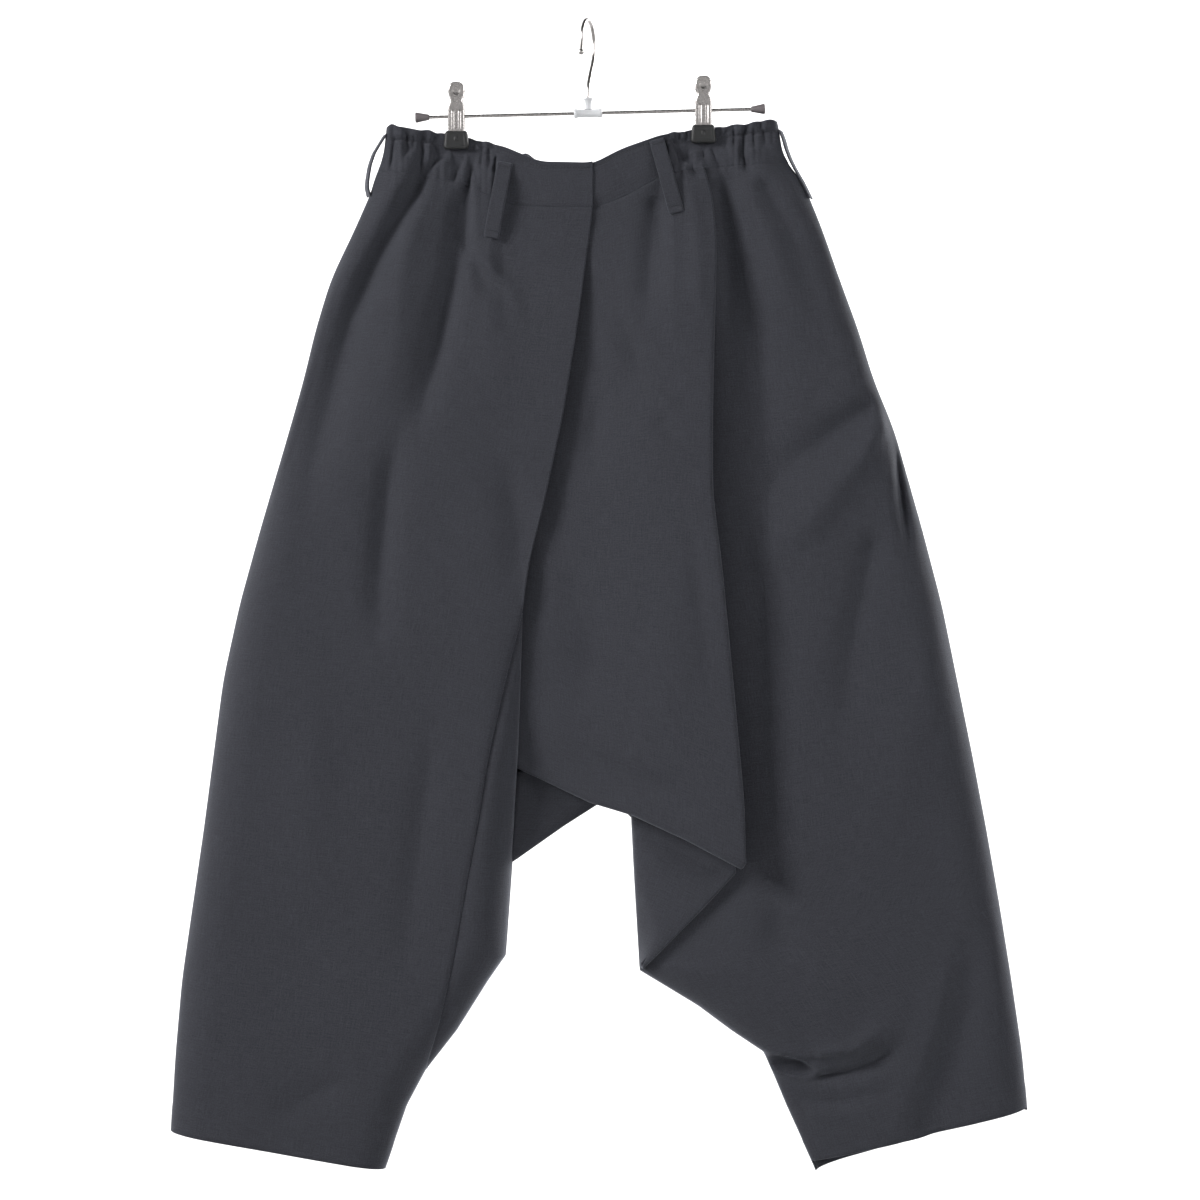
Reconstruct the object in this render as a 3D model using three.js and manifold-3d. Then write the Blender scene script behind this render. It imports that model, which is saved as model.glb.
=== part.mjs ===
// Drop-crotch wrap trousers, hanging by the waistband from a two-clip hanger.
// Millimetres, +Z up, the front faces -Y, and the wearer's right is at -X.
// The origin is the seat of the hook, the inner top of its bend.

import * as THREE from 'three';
import { mergeVertices } from 'three/addons/utils/BufferGeometryUtils.js';
import Module from 'manifold-3d';

const wasm = await Module();
wasm.setup();

// Cloth sizes
const WALL = 1.5;
const SEAM = 0.3;
const LAP = WALL + SEAM;
const HALF_SEAM = SEAM / 2;

// Side seams, from the waist to the hem: the half widths of the whole garment at each level
const SIDE_ROWS = [
  { z: -90, right: -184, left: 172 },
  { z: -98, right: -186, left: 175 },
  { z: -130, right: -191, left: 188 },
  { z: -159, right: -200, left: 202 },
  { z: -191, right: -214, left: 215 },
  { z: -237, right: -236, left: 231 },
  { z: -283, right: -250, left: 248 },
  { z: -329, right: -261, left: 262 },
  { z: -375, right: -274, left: 281 },
  { z: -467, right: -301, left: 307 },
  { z: -536, right: -320, left: 325 },
  { z: -605, right: -335, left: 339 },
  { z: -674, right: -344, left: 353 },
  { z: -743, right: -353, left: 366 },
  { z: -812, right: -363, left: 378 },
  { z: -881, right: -373, left: 389 },
  { z: -950, right: -379, left: 399 },
  { z: -1019, right: -383, left: 405 },
  { z: -1070, right: -385, left: 407 },
];

// Inner outline of the right leg's front: the valley beside the wrap, then the inner leg to the hem
const RIGHT_INNER_ROWS = [
  { x: -60, z: -500 },
  { x: -60, z: -545 },
  { x: -62, z: -604 },
  { x: -64, z: -663 },
  { x: -68, z: -726 },
  { x: -70, z: -772 },
  { x: -76, z: -858 },
  { x: -92, z: -881 },
  { x: -121, z: -927 },
  { x: -150, z: -964 },
  { x: -167, z: -996 },
  { x: -187, z: -1054 },
  { x: -195, z: -1090 },
];

// Crotch: from the right inner leg up and over to the left inner leg
const CROTCH_RIGHT_ROWS = [
  { x: 14, z: -716 },
  { x: -22, z: -739 },
  { x: -69, z: -772 },
];

// Inner outline of the left leg
const LEFT_INNER_ROWS = [
  { x: 40, z: -730 },
  { x: 43, z: -789 },
  { x: 48, z: -872 },
  { x: 101, z: -904 },
  { x: 132, z: -927 },
  { x: 162, z: -947 },
  { x: 173, z: -972 },
  { x: 183, z: -996 },
  { x: 209, z: -1053 },
  { x: 222, z: -1090 },
];

// Wrap edge of the right front, which goes on as the seam of the inner strip
const WRAP_ROWS = [
  { z: -120, x: 4 },
  { z: -174, x: 4 },
  { z: -220, x: -2 },
  { z: -282, x: -10 },
  { z: -364, x: -23 },
  { z: -443, x: -40 },
  { z: -499, x: -54 },
  { z: -545, x: -60 },
  { z: -604, x: -75 },
  { z: -676, x: -91 },
  { z: -732, x: -100 },
  { z: -808, x: -114 },
  { z: -851, x: -121 },
  { z: -920, x: -136 },
  { z: -964, x: -150 },
];

// Fold edge of the long pleat: reach, and how far it stands before the left front
const PLEAT_ROWS = [
  { z: -131, x: 104, proud: 1, setback: 2.4 },
  { z: -157, x: 113, proud: 2, setback: 2.6 },
  { z: -203, x: 117, proud: 5, setback: 4 },
  { z: -282, x: 115, proud: 9, setback: 7 },
  { z: -364, x: 113, proud: 12, setback: 10 },
  { z: -435, x: 113, proud: 14, setback: 13 },
  { z: -500, x: 121, proud: 15, setback: 15 },
  { z: -615, x: 132, proud: 17, setback: 16 },
  { z: -714, x: 141, proud: 19, setback: 22 },
  { z: -790, x: 143, proud: 20, setback: 24 },
];

// Lower edge of the centre panel, which rolls under
const ROLL_ROWS = [
  { x: -64, z: -683, radius: 2.6 },
  { x: 4, z: -712, radius: 5 },
  { x: 43, z: -722, radius: 6 },
  { x: 91, z: -743, radius: 6.5 },
  { x: 142, z: -770, radius: 6 },
];

// Diagonal fold of the inner facet, from the corner of the pleat down to the inner leg
const FACET_ROWS = [
  { z: -764, x: 136 },
  { z: -778, x: 138 },
  { z: -805, x: 113 },
  { z: -866, x: 53 },
];

// Waistband: upper edge and lower seam along the width
const BAND_ROWS = [
  { x: -200, top: -97, bottom: -138 },
  { x: -186, top: -98, bottom: -138 },
  { x: -150, top: -100, bottom: -143 },
  { x: -109, top: -107, bottom: -151 },
  { x: -77, top: -116, bottom: -168 },
  { x: -44, top: -130, bottom: -171 },
  { x: 4, top: -131, bottom: -172 },
  { x: 31, top: -117, bottom: -163 },
  { x: 71, top: -103, bottom: -141 },
  { x: 100, top: -98, bottom: -136 },
  { x: 140, top: -94, bottom: -133 },
  { x: 186, top: -90, bottom: -131 },
  { x: 210, top: -90, bottom: -131 },
];

// Least distance from the pleat's outer layer to the left front behind its return
const PLEAT_STACK = 2 * LAP + 0.8;

// Half depth of the body along its height, away from the edges, and the width of the rounding there
const DEPTH_ROWS = [
  { z: -90, depth: 7, rounding: 7 },
  { z: -140, depth: 9, rounding: 12 },
  { z: -250, depth: 21, rounding: 24 },
  { z: -400, depth: 31, rounding: 32 },
  { z: -550, depth: 37, rounding: 38 },
  { z: -750, depth: 35, rounding: 38 },
  { z: -900, depth: 30, rounding: 36 },
  { z: -1060, depth: 21, rounding: 34 },
];

// How far the inner edge of the right front has turned back, from a flat wrap to a closed leg
const CLOSING_ROWS = [
  { z: -500, share: 0 },
  { z: -560, share: 0.14 },
  { z: -620, share: 0.38 },
  { z: -690, share: 0.63 },
  { z: -772, share: 1 },
];

// Hem lines of each leg, from the side seam to the inner leg
const HEMS = {
  right_front: { outer: { x: -383, z: -1019 }, inner: { x: -187, z: -1054 } },
  right_back: { outer: { x: -383, z: -1019 }, inner: { x: -187, z: -1054 } },
  left_front: { outer: { x: 405, z: -998 }, inner: { x: 213, z: -1046 } },
  left_back: { outer: { x: 405, z: -998 }, inner: { x: 209, z: -1056 } },
};

// Largest folds: a soft trough (depth > 0) or ridge (depth < 0) along a line
const RIGHT_FRONT_FOLDS = [
  { x1: -157, z1: -147, x2: -209, z2: -243, width: 10, depth: 5 },
  { x1: -205, z1: -235, x2: -259, z2: -436, width: 13, depth: 7 },
  { x1: -252, z1: -410, x2: -294, z2: -560, width: 16, depth: 4 },
  { x1: -113, z1: -150, x2: -118, z2: -225, width: 8, depth: 4 },
  { x1: -118, z1: -220, x2: -168, z2: -320, width: 11, depth: 5 },
  { x1: -182, z1: -330, x2: -190, z2: -560, width: 13, depth: 5 },
  { x1: -105, z1: -195, x2: -66, z2: -250, width: 9, depth: -3 },
];
const LEFT_FRONT_FOLDS = [
  { x1: 160, z1: -140, x2: 176, z2: -250, width: 10, depth: 3 },
  { x1: 210, z1: -190, x2: 262, z2: -330, width: 14, depth: 3 },
  { x1: 345, z1: -835, x2: 300, z2: -990, width: 14, depth: 6 },
  { x1: 319, z1: -559, x2: 262, z2: -800, width: 34, depth: -4 },
  { x1: 190, z1: -962, x2: 290, z2: -935, width: 9, depth: 7 },
  { x1: 120, z1: -906, x2: 205, z2: -946, width: 9, depth: -5 },
];
const RIGHT_BACK_FOLDS = [
  { x1: -160, z1: -150, x2: -235, z2: -420, width: 14, depth: 5 },
  { x1: -60, z1: -170, x2: -110, z2: -430, width: 16, depth: 4 },
  { x1: 6, z1: -640, x2: -210, z2: -820, width: 22, depth: 7 },
  { x1: -20, z1: -560, x2: -270, z2: -690, width: 24, depth: 5 },
];
const LEFT_BACK_FOLDS = [
  { x1: 150, z1: -150, x2: 215, z2: -380, width: 14, depth: 5 },
  { x1: 60, z1: -165, x2: 92, z2: -420, width: 16, depth: 4 },
  { x1: 48, z1: -650, x2: 260, z2: -840, width: 22, depth: 7 },
  { x1: 60, z1: -560, x2: 310, z2: -720, width: 24, depth: 5 },
];

// Hanger
const WIRE_RADIUS = 1.75;
const HOOK_RADIUS = 20;
const HOOK_TURN = THREE.MathUtils.degToRad(16);
const HOOK_BALL_RADIUS = 2.8;
const ROD = { radius: 1.5, start: { x: -159, z: -88 }, end: { x: 163, z: -80 } };
const HUB = { length: 26, radius: 4.2, bossRadius: 3.6, bossHeight: 11 };
const CAP = { length: 13, small: 2.6, large: 4.8, socket: 9 };
const BORE_GAP = 0.3;

// Sprung clips: a row for each clip, then the outline of one plate from its head to its jaw
const CLIPS = [
  { name: 'clip_right', x: -121 },
  { name: 'clip_left', x: 106 },
];
const CLIP_ROWS = [
  { rise: 30.4, halfWidth: 3.2, y: 8.6 },
  { rise: 28.4, halfWidth: 6, y: 8.5 },
  { rise: 23, halfWidth: 7.4, y: 8.3 },
  { rise: 17.6, halfWidth: 5.6, y: 8 },
  { rise: 13, halfWidth: 5.4, y: 7.7 },
  { rise: 9, halfWidth: 7.4, y: 7.4 },
  { rise: 0, halfWidth: 7.4, y: 6.8 },
  { rise: -12, halfWidth: 7.4, y: 5.8 },
  { rise: -16, halfWidth: 7.8, y: 5.4 },
  { rise: -27, halfWidth: 8.2, y: 5.4 },
];
const PLATE = 1;
const PAD = { top: -15, bottom: -28.5, halfTop: 9, halfBottom: 11, thick: 2.4 };
const SPRING = { radius: 5.9, length: 11 };
const PINCH = (WALL + SEAM) / 2 + 0.15;

// Colours and finishes
const CLOTH = { color: 0x3b3d43, roughness: 0.92, metalness: 0 };
const STEEL = { color: 0xb9babc, roughness: 0.25, metalness: 1 };
const GREY_PLASTIC = { color: 0x77777a, roughness: 0.5, metalness: 0 };
const CLEAR_PLASTIC = { color: 0xe8e8ea, roughness: 0.3, metalness: 0 };
const RUBBER = { color: 0x17171a, roughness: 0.7, metalness: 0 };

const clamp = (t, low = 0, high = 1) => Math.min(high, Math.max(low, t));
const mix = (a, b, t) => a + (b - a) * t;
const smooth = (t) => clamp(t) ** 2 * (3 - 2 * clamp(t));

// Straight-line reading of one column of a table against another
function read(rows, key, column, at) {
  const sign = Math.sign(rows[rows.length - 1][key] - rows[0][key]);
  let i = 0;
  while (i < rows.length - 2 && sign * (rows[i + 1][key] - at) < 0) i += 1;
  const a = rows[i];
  const b = rows[i + 1];
  return mix(a[column], b[column], clamp((at - a[key]) / (b[key] - a[key])));
}

// The same reading, softened over a short stretch so that it has no corners
function soft(rows, key, column, at, reach = 14) {
  const steps = [-1, -0.5, 0, 0.5, 1];
  return steps.reduce((sum, s) => sum + read(rows, key, column, at + s * reach), 0) / steps.length;
}

function distanceToSegment(x, z, a, b) {
  const dx = b.x - a.x;
  const dz = b.z - a.z;
  const t = clamp(((x - a.x) * dx + (z - a.z) * dz) / (dx * dx + dz * dz));
  return Math.hypot(x - a.x - t * dx, z - a.z - t * dz);
}

function distanceToLine(x, z, points) {
  let least = Infinity;
  for (let i = 0; i + 1 < points.length; i += 1) {
    least = Math.min(least, distanceToSegment(x, z, points[i], points[i + 1]));
  }
  return least;
}

const sideX = (leg, z) => soft(SIDE_ROWS, 'z', leg, z);
const bandTop = (x) => soft(BAND_ROWS, 'x', 'top', x, 8);
const bandBottom = (x) => soft(BAND_ROWS, 'x', 'bottom', x, 8);
const rightInnerX = (z) => read(RIGHT_INNER_ROWS, 'z', 'x', z);
const leftInnerX = (z) => read(LEFT_INNER_ROWS, 'z', 'x', z);
const wrapX = (z) => soft(WRAP_ROWS, 'z', 'x', z, 8);
const pleatX = (z) => soft(PLEAT_ROWS, 'z', 'x', z);
const facetX = (z) => read(FACET_ROWS, 'z', 'x', z);

const sideLine = (leg) => SIDE_ROWS.map((row) => ({ x: sideX(leg, row.z), z: row.z }));
const SIDE_LINES = { right: sideLine('right'), left: sideLine('left') };
const CROTCH_LINE = [
  ...RIGHT_INNER_ROWS.filter((row) => row.z < -772).reverse(),
  ...[...CROTCH_RIGHT_ROWS].reverse(),
  ...LEFT_INNER_ROWS,
];
const LEFT_LEG_LINE = LEFT_INNER_ROWS.filter((row) => row.z <= -872);

// A quarter-round rise from an edge to the full depth
const roundRise = (distance, width) => Math.sqrt(1 - (1 - clamp(distance / width)) ** 2);

const atClips = (x, reach) => Math.max(...CLIPS.map((clip) => 1 - smooth((Math.abs(x - clip.x) - 13) / reach)));

// Half depth of the waist: pinched flat at the clips, a little open between and beside them
function waistDepth(x) {
  const open = 8 * (1 - atClips(x, 34));
  return PINCH + open;
}

// Gathers: fine in the band, longer on the panels below it, none on the flat centre front
function gathers(x, z, flatCentre) {
  const below = bandBottom(x) - z;
  const flat = flatCentre ? smooth((Math.abs(x + 12) - 62) / 20) : 1;
  const away = 1 - atClips(x, 12) * (1 - smooth(below / 40));
  const fine = 1.1 * (1 - smooth((below + 4) / 16)) * Math.sin((2 * Math.PI * x) / 17 + 0.8 * Math.sin(x / 23));
  const long = 2.6 * smooth((below + 45) / 70) * (1 - smooth((below - 10) / 120));
  return flat * away * (fine + long * Math.sin((2 * Math.PI * x) / 35 + 1.1 * Math.sin(x / 47)));
}

// Half depth of the body before folds, at a place of the front or back outline
function bodyDepth(x, z) {
  const leg = x < 12 ? 'right' : 'left';
  const below = bandBottom(x) - z;
  const full = mix(waistDepth(x), soft(DEPTH_ROWS, 'z', 'depth', z, 30), smooth((below + 6) / 130));
  const edge = distanceToLine(x, z, SIDE_LINES[leg]);
  return full * roundRise(edge, soft(DEPTH_ROWS, 'z', 'rounding', z, 30));
}

function foldDepth(x, z, rows) {
  let sum = 0;
  for (const row of rows) {
    const dx = row.x2 - row.x1;
    const dz = row.z2 - row.z1;
    const along = ((x - row.x1) * dx + (z - row.z1) * dz) / (dx * dx + dz * dz);
    const off = distanceToSegment(x, z, { x: row.x1, z: row.z1 }, { x: row.x2, z: row.z2 });
    const taper = smooth(along / 0.25) * smooth((1 - along) / 0.25);
    sum += row.depth * taper * Math.exp(-((off / row.width) ** 2));
  }
  return sum;
}

// Folds and gathers fade out at the edges, so that the seams keep their place
const calm = (distance) => smooth(distance / 18);

const sideDistance = (x, z) => distanceToLine(x, z, SIDE_LINES[x < 12 ? 'right' : 'left']);

function rightFrontY(x, z) {
  const inner = distanceToLine(x, z, RIGHT_INNER_ROWS);
  const closing = soft(CLOSING_ROWS, 'z', 'share', z, 20);
  const turned = 1 - closing * (1 - roundRise(inner, 34));
  const relief = foldDepth(x, z, RIGHT_FRONT_FOLDS) + gathers(x, z, true);
  const lift = 1.6 * smooth((x + 70) / 50) * smooth((z + 560) / 60);
  return -HALF_SEAM - bodyDepth(x, z) * turned - lift + relief * calm(sideDistance(x, z));
}

function leftFrontY(x, z) {
  const inner = roundRise(distanceToLine(x, z, LEFT_LEG_LINE), 34);
  const recess = mix(3.2, 11, smooth((bandBottom(x) - z) / 160));
  const room = Math.max(0, bodyDepth(x, z) - PINCH);
  const hidden = Math.min(recess, room) * (1 - smooth((x - leftFrontEdge(z)) / 85));
  const relief = foldDepth(x, z, LEFT_FRONT_FOLDS) + gathers(x, z, true);
  const edges = calm(sideDistance(x, z)) * calm(distanceToLine(x, z, LEFT_LEG_LINE));
  return -HALF_SEAM - (bodyDepth(x, z) - hidden) * inner + relief * edges;
}

// Inner edge of the left front: hidden behind the pleat, then behind the facet, then the inner leg
function leftFrontEdge(z) {
  const behindPleat = pleatX(z) - 26;
  const behindFacet = facetX(z) - 12 * smooth((z + 866) / 50);
  const hidden = mix(behindFacet, behindPleat, smooth((z + 790) / 40));
  return z > -866 ? Math.max(hidden, leftInnerX(z)) : leftInnerX(z);
}

function centreY(x, z) {
  const start = centreStart(z);
  const end = pleatX(z);
  const u = clamp((x - start) / (end - start));
  const closing = soft(CLOSING_ROWS, 'z', 'share', z, 20);
  const table = soft(PLEAT_ROWS, 'z', 'setback', z, 20);
  const setback = Math.max(table, closing * bodyDepth(x, z) * 0.94 + LAP);
  const proud = soft(PLEAT_ROWS, 'z', 'proud', z, 20);
  const shape = -setback * (1 - smooth(u * 1.5)) + proud * smooth((u - 0.3) / 0.7);
  const free = -HALF_SEAM - bodyDepth(x, z) - shape + gathers(x, z, true) * 0.6;
  const overLeft = leftFrontY(Math.max(x, leftFrontEdge(z)), z) - PLEAT_STACK;
  return mix(free, Math.min(free, overLeft), smooth((x - end + 40) / 20));
}

const centreStart = (z) => (z > -560 ? wrapX(z) - 28 * smooth((z + 560) / 60) : Math.max(wrapX(z), rightInnerX(z))) + 1.4;

function rightBackY(x, z) {
  const inner = distanceToLine(x, z, CROTCH_LINE);
  const relief = foldDepth(x, z, RIGHT_BACK_FOLDS) + gathers(x, z, false);
  const edges = calm(sideDistance(x, z)) * calm(inner);
  return HALF_SEAM + bodyDepth(x, z) * roundRise(inner, 36) - relief * edges;
}

function leftBackY(x, z) {
  const inner = distanceToLine(x, z, CROTCH_LINE);
  const relief = foldDepth(x, z, LEFT_BACK_FOLDS) + gathers(x, z, false);
  const edges = calm(sideDistance(x, z)) * calm(inner);
  return HALF_SEAM + bodyDepth(x, z) * roundRise(inner, 36) - relief * edges;
}

// A wall of even thickness over a grid of middle points, closed all round
function wallGeometry(grid, thickness) {
  const rows = grid.length;
  const columns = grid[0].length;
  const at = (i, j) => grid[clamp(i, 0, rows - 1)][clamp(j, 0, columns - 1)];
  const positions = [];
  for (const side of [1, -1]) {
    for (let i = 0; i < rows; i += 1) {
      for (let j = 0; j < columns; j += 1) {
        const across = new THREE.Vector3().subVectors(at(i, j + 1), at(i, j - 1));
        const down = new THREE.Vector3().subVectors(at(i + 1, j), at(i - 1, j));
        const normal = new THREE.Vector3().crossVectors(across, down).normalize();
        if (grid[i][j].normal) normal.copy(grid[i][j].normal);
        const p = grid[i][j].clone().addScaledVector(normal, (side * thickness) / 2);
        positions.push(p.x, p.y, p.z);
      }
    }
  }
  const index = (side, i, j) => side * rows * columns + i * columns + j;
  const faces = [];
  const quad = (a, b, c, d) => faces.push(a, b, c, a, c, d);
  for (let i = 0; i + 1 < rows; i += 1) {
    for (let j = 0; j + 1 < columns; j += 1) {
      quad(index(0, i, j), index(0, i, j + 1), index(0, i + 1, j + 1), index(0, i + 1, j));
      quad(index(1, i, j), index(1, i + 1, j), index(1, i + 1, j + 1), index(1, i, j + 1));
    }
  }
  for (let j = 0; j + 1 < columns; j += 1) {
    quad(index(0, 0, j + 1), index(0, 0, j), index(1, 0, j), index(1, 0, j + 1));
    const last = rows - 1;
    quad(index(0, last, j), index(0, last, j + 1), index(1, last, j + 1), index(1, last, j));
  }
  for (let i = 0; i + 1 < rows; i += 1) {
    quad(index(0, i, 0), index(0, i + 1, 0), index(1, i + 1, 0), index(1, i, 0));
    const last = columns - 1;
    quad(index(0, i + 1, last), index(0, i, last), index(1, i, last), index(1, i + 1, last));
  }
  const geometry = new THREE.BufferGeometry();
  geometry.setAttribute('position', new THREE.Float32BufferAttribute(positions, 3));
  geometry.setIndex(faces);
  return geometry;
}

const part = new THREE.Group();

function add(name, geometry, finish, group = part) {
  const mesh = new THREE.Mesh(geometry, new THREE.MeshStandardMaterial(finish));
  mesh.name = name;
  group.add(mesh);
  return mesh;
}

// Shares from 0 to 1, closer together towards both ends
function shares(count, power = 1.6) {
  return Array.from({ length: count + 1 }, (_, k) => {
    const t = k / count;
    return t < 0.5 ? (2 * t) ** power / 2 : 1 - (2 - 2 * t) ** power / 2;
  });
}
const even = (count) => Array.from({ length: count + 1 }, (_, k) => k / count);

// Level of a row at a place: from the band's lower seam down to a hem or crease line
const hemZ = (hem, x) => mix(hem.outer.z, hem.inner.z, (x - hem.outer.x) / (hem.inner.x - hem.outer.x));

// Finds the point of an edge that lies on a row
function edgePoint(edgeX, rowZ) {
  let z = rowZ(0);
  for (let k = 0; k < 40; k += 1) z = mix(z, rowZ(edgeX(z)), 0.6);
  return { x: edgeX(z), z };
}

// A panel between two edges: rows run from edge a to edge b, and each point takes its depth from depthY
function panelGrid({ rows, columns, lower, edgeA, edgeB, depthY, sideNormalA, sideNormalB }) {
  return rows.map((v) => {
    const rowZ = (x) => mix(bandBottom(x) - HALF_SEAM, lower(x), v);
    const a = edgePoint(edgeA, rowZ);
    const b = edgePoint(edgeB, rowZ);
    return columns.map((u, j) => {
      const x = mix(a.x, b.x, u);
      const z = mix(a.z, b.z, u) + rowZ(x) - mix(rowZ(a.x), rowZ(b.x), u);
      const point = new THREE.Vector3(x, depthY(x, z), z);
      if (j === 0 && sideNormalA) point.normal = sideNormalA(z);
      if (j === columns.length - 1 && sideNormalB) point.normal = sideNormalB(z);
      return point;
    });
  });
}

const OUT_RIGHT = new THREE.Vector3(-1, 0, 0);
const OUT_LEFT = new THREE.Vector3(1, 0, 0);
const BACKWARD = new THREE.Vector3(0, 1, 0);
const PANEL_ROWS = even(21);
const reversed = (grid) => grid.map((row) => [...row].reverse());

// Front and back panels
const frontRightGrid = panelGrid({
  rows: PANEL_ROWS,
  columns: shares(21),
  lower: (x) => hemZ(HEMS.right_front, x),
  edgeA: (z) => sideX('right', z),
  edgeB: (z) => (z > -955 ? wrapX(z) - HALF_SEAM : rightInnerX(z)),
  depthY: rightFrontY,
  sideNormalA: () => OUT_RIGHT,
  sideNormalB: (z) => (z < -966 ? OUT_LEFT : null),
});
add('front_right', wallGeometry(reversed(frontRightGrid), WALL), CLOTH);

const INNER_RIGHT = { top: -572, bottom: -932 };
add('inner_right', wallGeometry(even(13).map((v) => {
  const z = mix(INNER_RIGHT.top, INNER_RIGHT.bottom, v);
  return even(4).reverse().map((u) => {
    const x = mix(wrapX(z) + HALF_SEAM, rightInnerX(z), u ** 0.7);
    const point = new THREE.Vector3(x, rightFrontY(x, z), z);
    if (u === 1 && z < -772) point.normal = OUT_LEFT;
    return point;
  });
}), WALL), CLOTH);

const frontLeftGrid = panelGrid({
  rows: PANEL_ROWS,
  columns: shares(22, 1.5),
  lower: (x) => hemZ(HEMS.left_front, x),
  edgeA: (z) => leftFrontEdge(z),
  edgeB: (z) => sideX('left', z),
  depthY: leftFrontY,
  sideNormalA: (z) => (z < -880 ? OUT_RIGHT : null),
  sideNormalB: () => OUT_LEFT,
});
add('front_left', wallGeometry(reversed(frontLeftGrid), WALL), CLOTH);

const CENTRE_BACK_X = 26;
const backRightGrid = panelGrid({
  rows: even(19),
  columns: shares(22, 1.4),
  lower: (x) => hemZ(HEMS.right_back, x),
  edgeA: (z) => sideX('right', z),
  edgeB: (z) => (z > -712 ? CENTRE_BACK_X - HALF_SEAM : crotchRightX(z)),
  depthY: rightBackY,
  sideNormalA: () => OUT_RIGHT,
  sideNormalB: (z) => (z < -716 ? OUT_LEFT : BACKWARD),
});
add('back_right', wallGeometry(backRightGrid, WALL), CLOTH);

function crotchRightX(z) {
  return z > -772 ? read(CROTCH_RIGHT_ROWS, 'z', 'x', z) : rightInnerX(z);
}

const backLeftGrid = panelGrid({
  rows: even(19),
  columns: shares(22, 1.4),
  lower: (x) => hemZ(HEMS.left_back, x),
  edgeA: (z) => (z > -722 ? CENTRE_BACK_X + HALF_SEAM : leftInnerX(z)),
  edgeB: (z) => sideX('left', z),
  depthY: leftBackY,
  sideNormalA: (z) => (z < -726 ? OUT_RIGHT : BACKWARD),
  sideNormalB: () => OUT_LEFT,
});
add('back_left', wallGeometry(backLeftGrid, WALL), CLOTH);

// A fold's curl and hidden return, past the last point of a row
function curl(last, direction, radius, width, endY) {
  const points = [];
  for (const turn of [0.25, 0.5, 0.75, 1]) {
    const angle = turn * Math.PI;
    const p = last.clone().addScaledVector(direction, radius * Math.sin(angle));
    p.y += radius * (1 - Math.cos(angle));
    points.push(p);
  }
  for (const t of [0.5, 1]) {
    const p = last.clone().addScaledVector(direction, -width * t);
    p.y = mix(last.y + 2 * radius, endY(p.x, p.z), t);
    points.push(p);
  }
  return points;
}

// Centre panel with the long pleat at its left and the rolled lower edge
const rollZ = (x) => read(ROLL_ROWS, 'x', 'z', x);
const rollRadius = (x) => read(ROLL_ROWS, 'x', 'radius', x);
const ACROSS = new THREE.Vector3(1, 0, 0);
function pleatRadius(z) {
  return mix(1.1, 3.4, smooth((-z - 170) / 160)) * mix(1, 0.45, smooth((-z - 690) / 70));
}
function pleatWidth(z) {
  return mix(12, 24, smooth((-z - 170) / 120)) * mix(1, 0.3, smooth((-z - 690) / 70));
}
const centreMain = panelGrid({
  rows: even(18),
  columns: even(13),
  lower: (x) => rollZ(x),
  edgeA: (z) => centreStart(z),
  edgeB: (z) => pleatX(z) - pleatRadius(z),
  depthY: centreY,
});
const centreFolded = centreMain.map((row) => {
  const last = row[row.length - 1];
  const radius = pleatRadius(last.z);
  const tight = smooth((-last.z - 680) / 60);
  const behind = (x, z) => {
    const onLeftFront = leftFrontY(Math.max(x, leftFrontEdge(z)), z) - LAP - 0.4;
    return mix(onLeftFront, last.y + 2 * radius, tight);
  };
  return [...row, ...curl(last, ACROSS, radius, pleatWidth(last.z), behind)];
});
const creaseRow = centreFolded[centreFolded.length - 1];
const mainRow = centreMain[centreMain.length - 1];
const DOWN = new THREE.Vector3(-0.42, 0, -0.91).normalize();
function rolledRow(turn, back) {
  return creaseRow.map((p, j) => {
    const front = mainRow[Math.min(j, mainRow.length - 1)];
    const behind = p.y - front.y;
    const radius = rollRadius(p.x);
    const own = radius - behind;
    const q = p.clone().addScaledVector(DOWN, own * Math.sin(turn * Math.PI) - back);
    q.y = front.y + radius - own * Math.cos(turn * Math.PI);
    return q;
  });
}
add('front_centre', wallGeometry(reversed([
  ...centreFolded,
  rolledRow(0.25, 0),
  rolledRow(0.5, 0),
  rolledRow(0.75, 0),
  rolledRow(1, 0),
  rolledRow(1, 9),
]), WALL), CLOTH);

// Inner facet of the left leg, its diagonal edge folded over the left front
const FACET_TOP = 9;
const FACET_FOLD = new THREE.Vector3(0.68, 0, -0.73).normalize();
const facetGrid = even(10).map((v) => {
  const a = { x: leftInnerX(mix(-736, -858, v)), z: mix(-736, -858, v) };
  const bz = mix(-768, -858, v);
  const b = { x: facetX(bz) - mix(7, 3, v), z: bz };
  const row = even(8).map((u) => {
    const x = mix(a.x, b.x, u);
    const z = mix(a.z, b.z, u) + FACET_TOP * (1 - v) * Math.sin(Math.PI * u) * 0.4;
    const inner = 17 * roundRise(distanceToLine(x, z, LEFT_INNER_ROWS.slice(0, 3)), 30);
    const edge = -(leftFrontY(Math.max(x, leftFrontEdge(z)), z) - mix(9, 5, v));
    const point = new THREE.Vector3(x, -HALF_SEAM - mix(inner, edge, smooth(u)), z);
    if (u === 0) point.normal = OUT_RIGHT;
    return point;
  });
  const last = row[row.length - 1];
  const behind = (x, z) => leftFrontY(Math.max(x, leftFrontEdge(z)), z) - LAP - 0.6;
  return [...row, ...curl(last, FACET_FOLD, mix(2.2, 0.9, v), mix(9, 3, v), behind)];
});
add('inner_left', wallGeometry(reversed(facetGrid), WALL), CLOTH);

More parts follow.
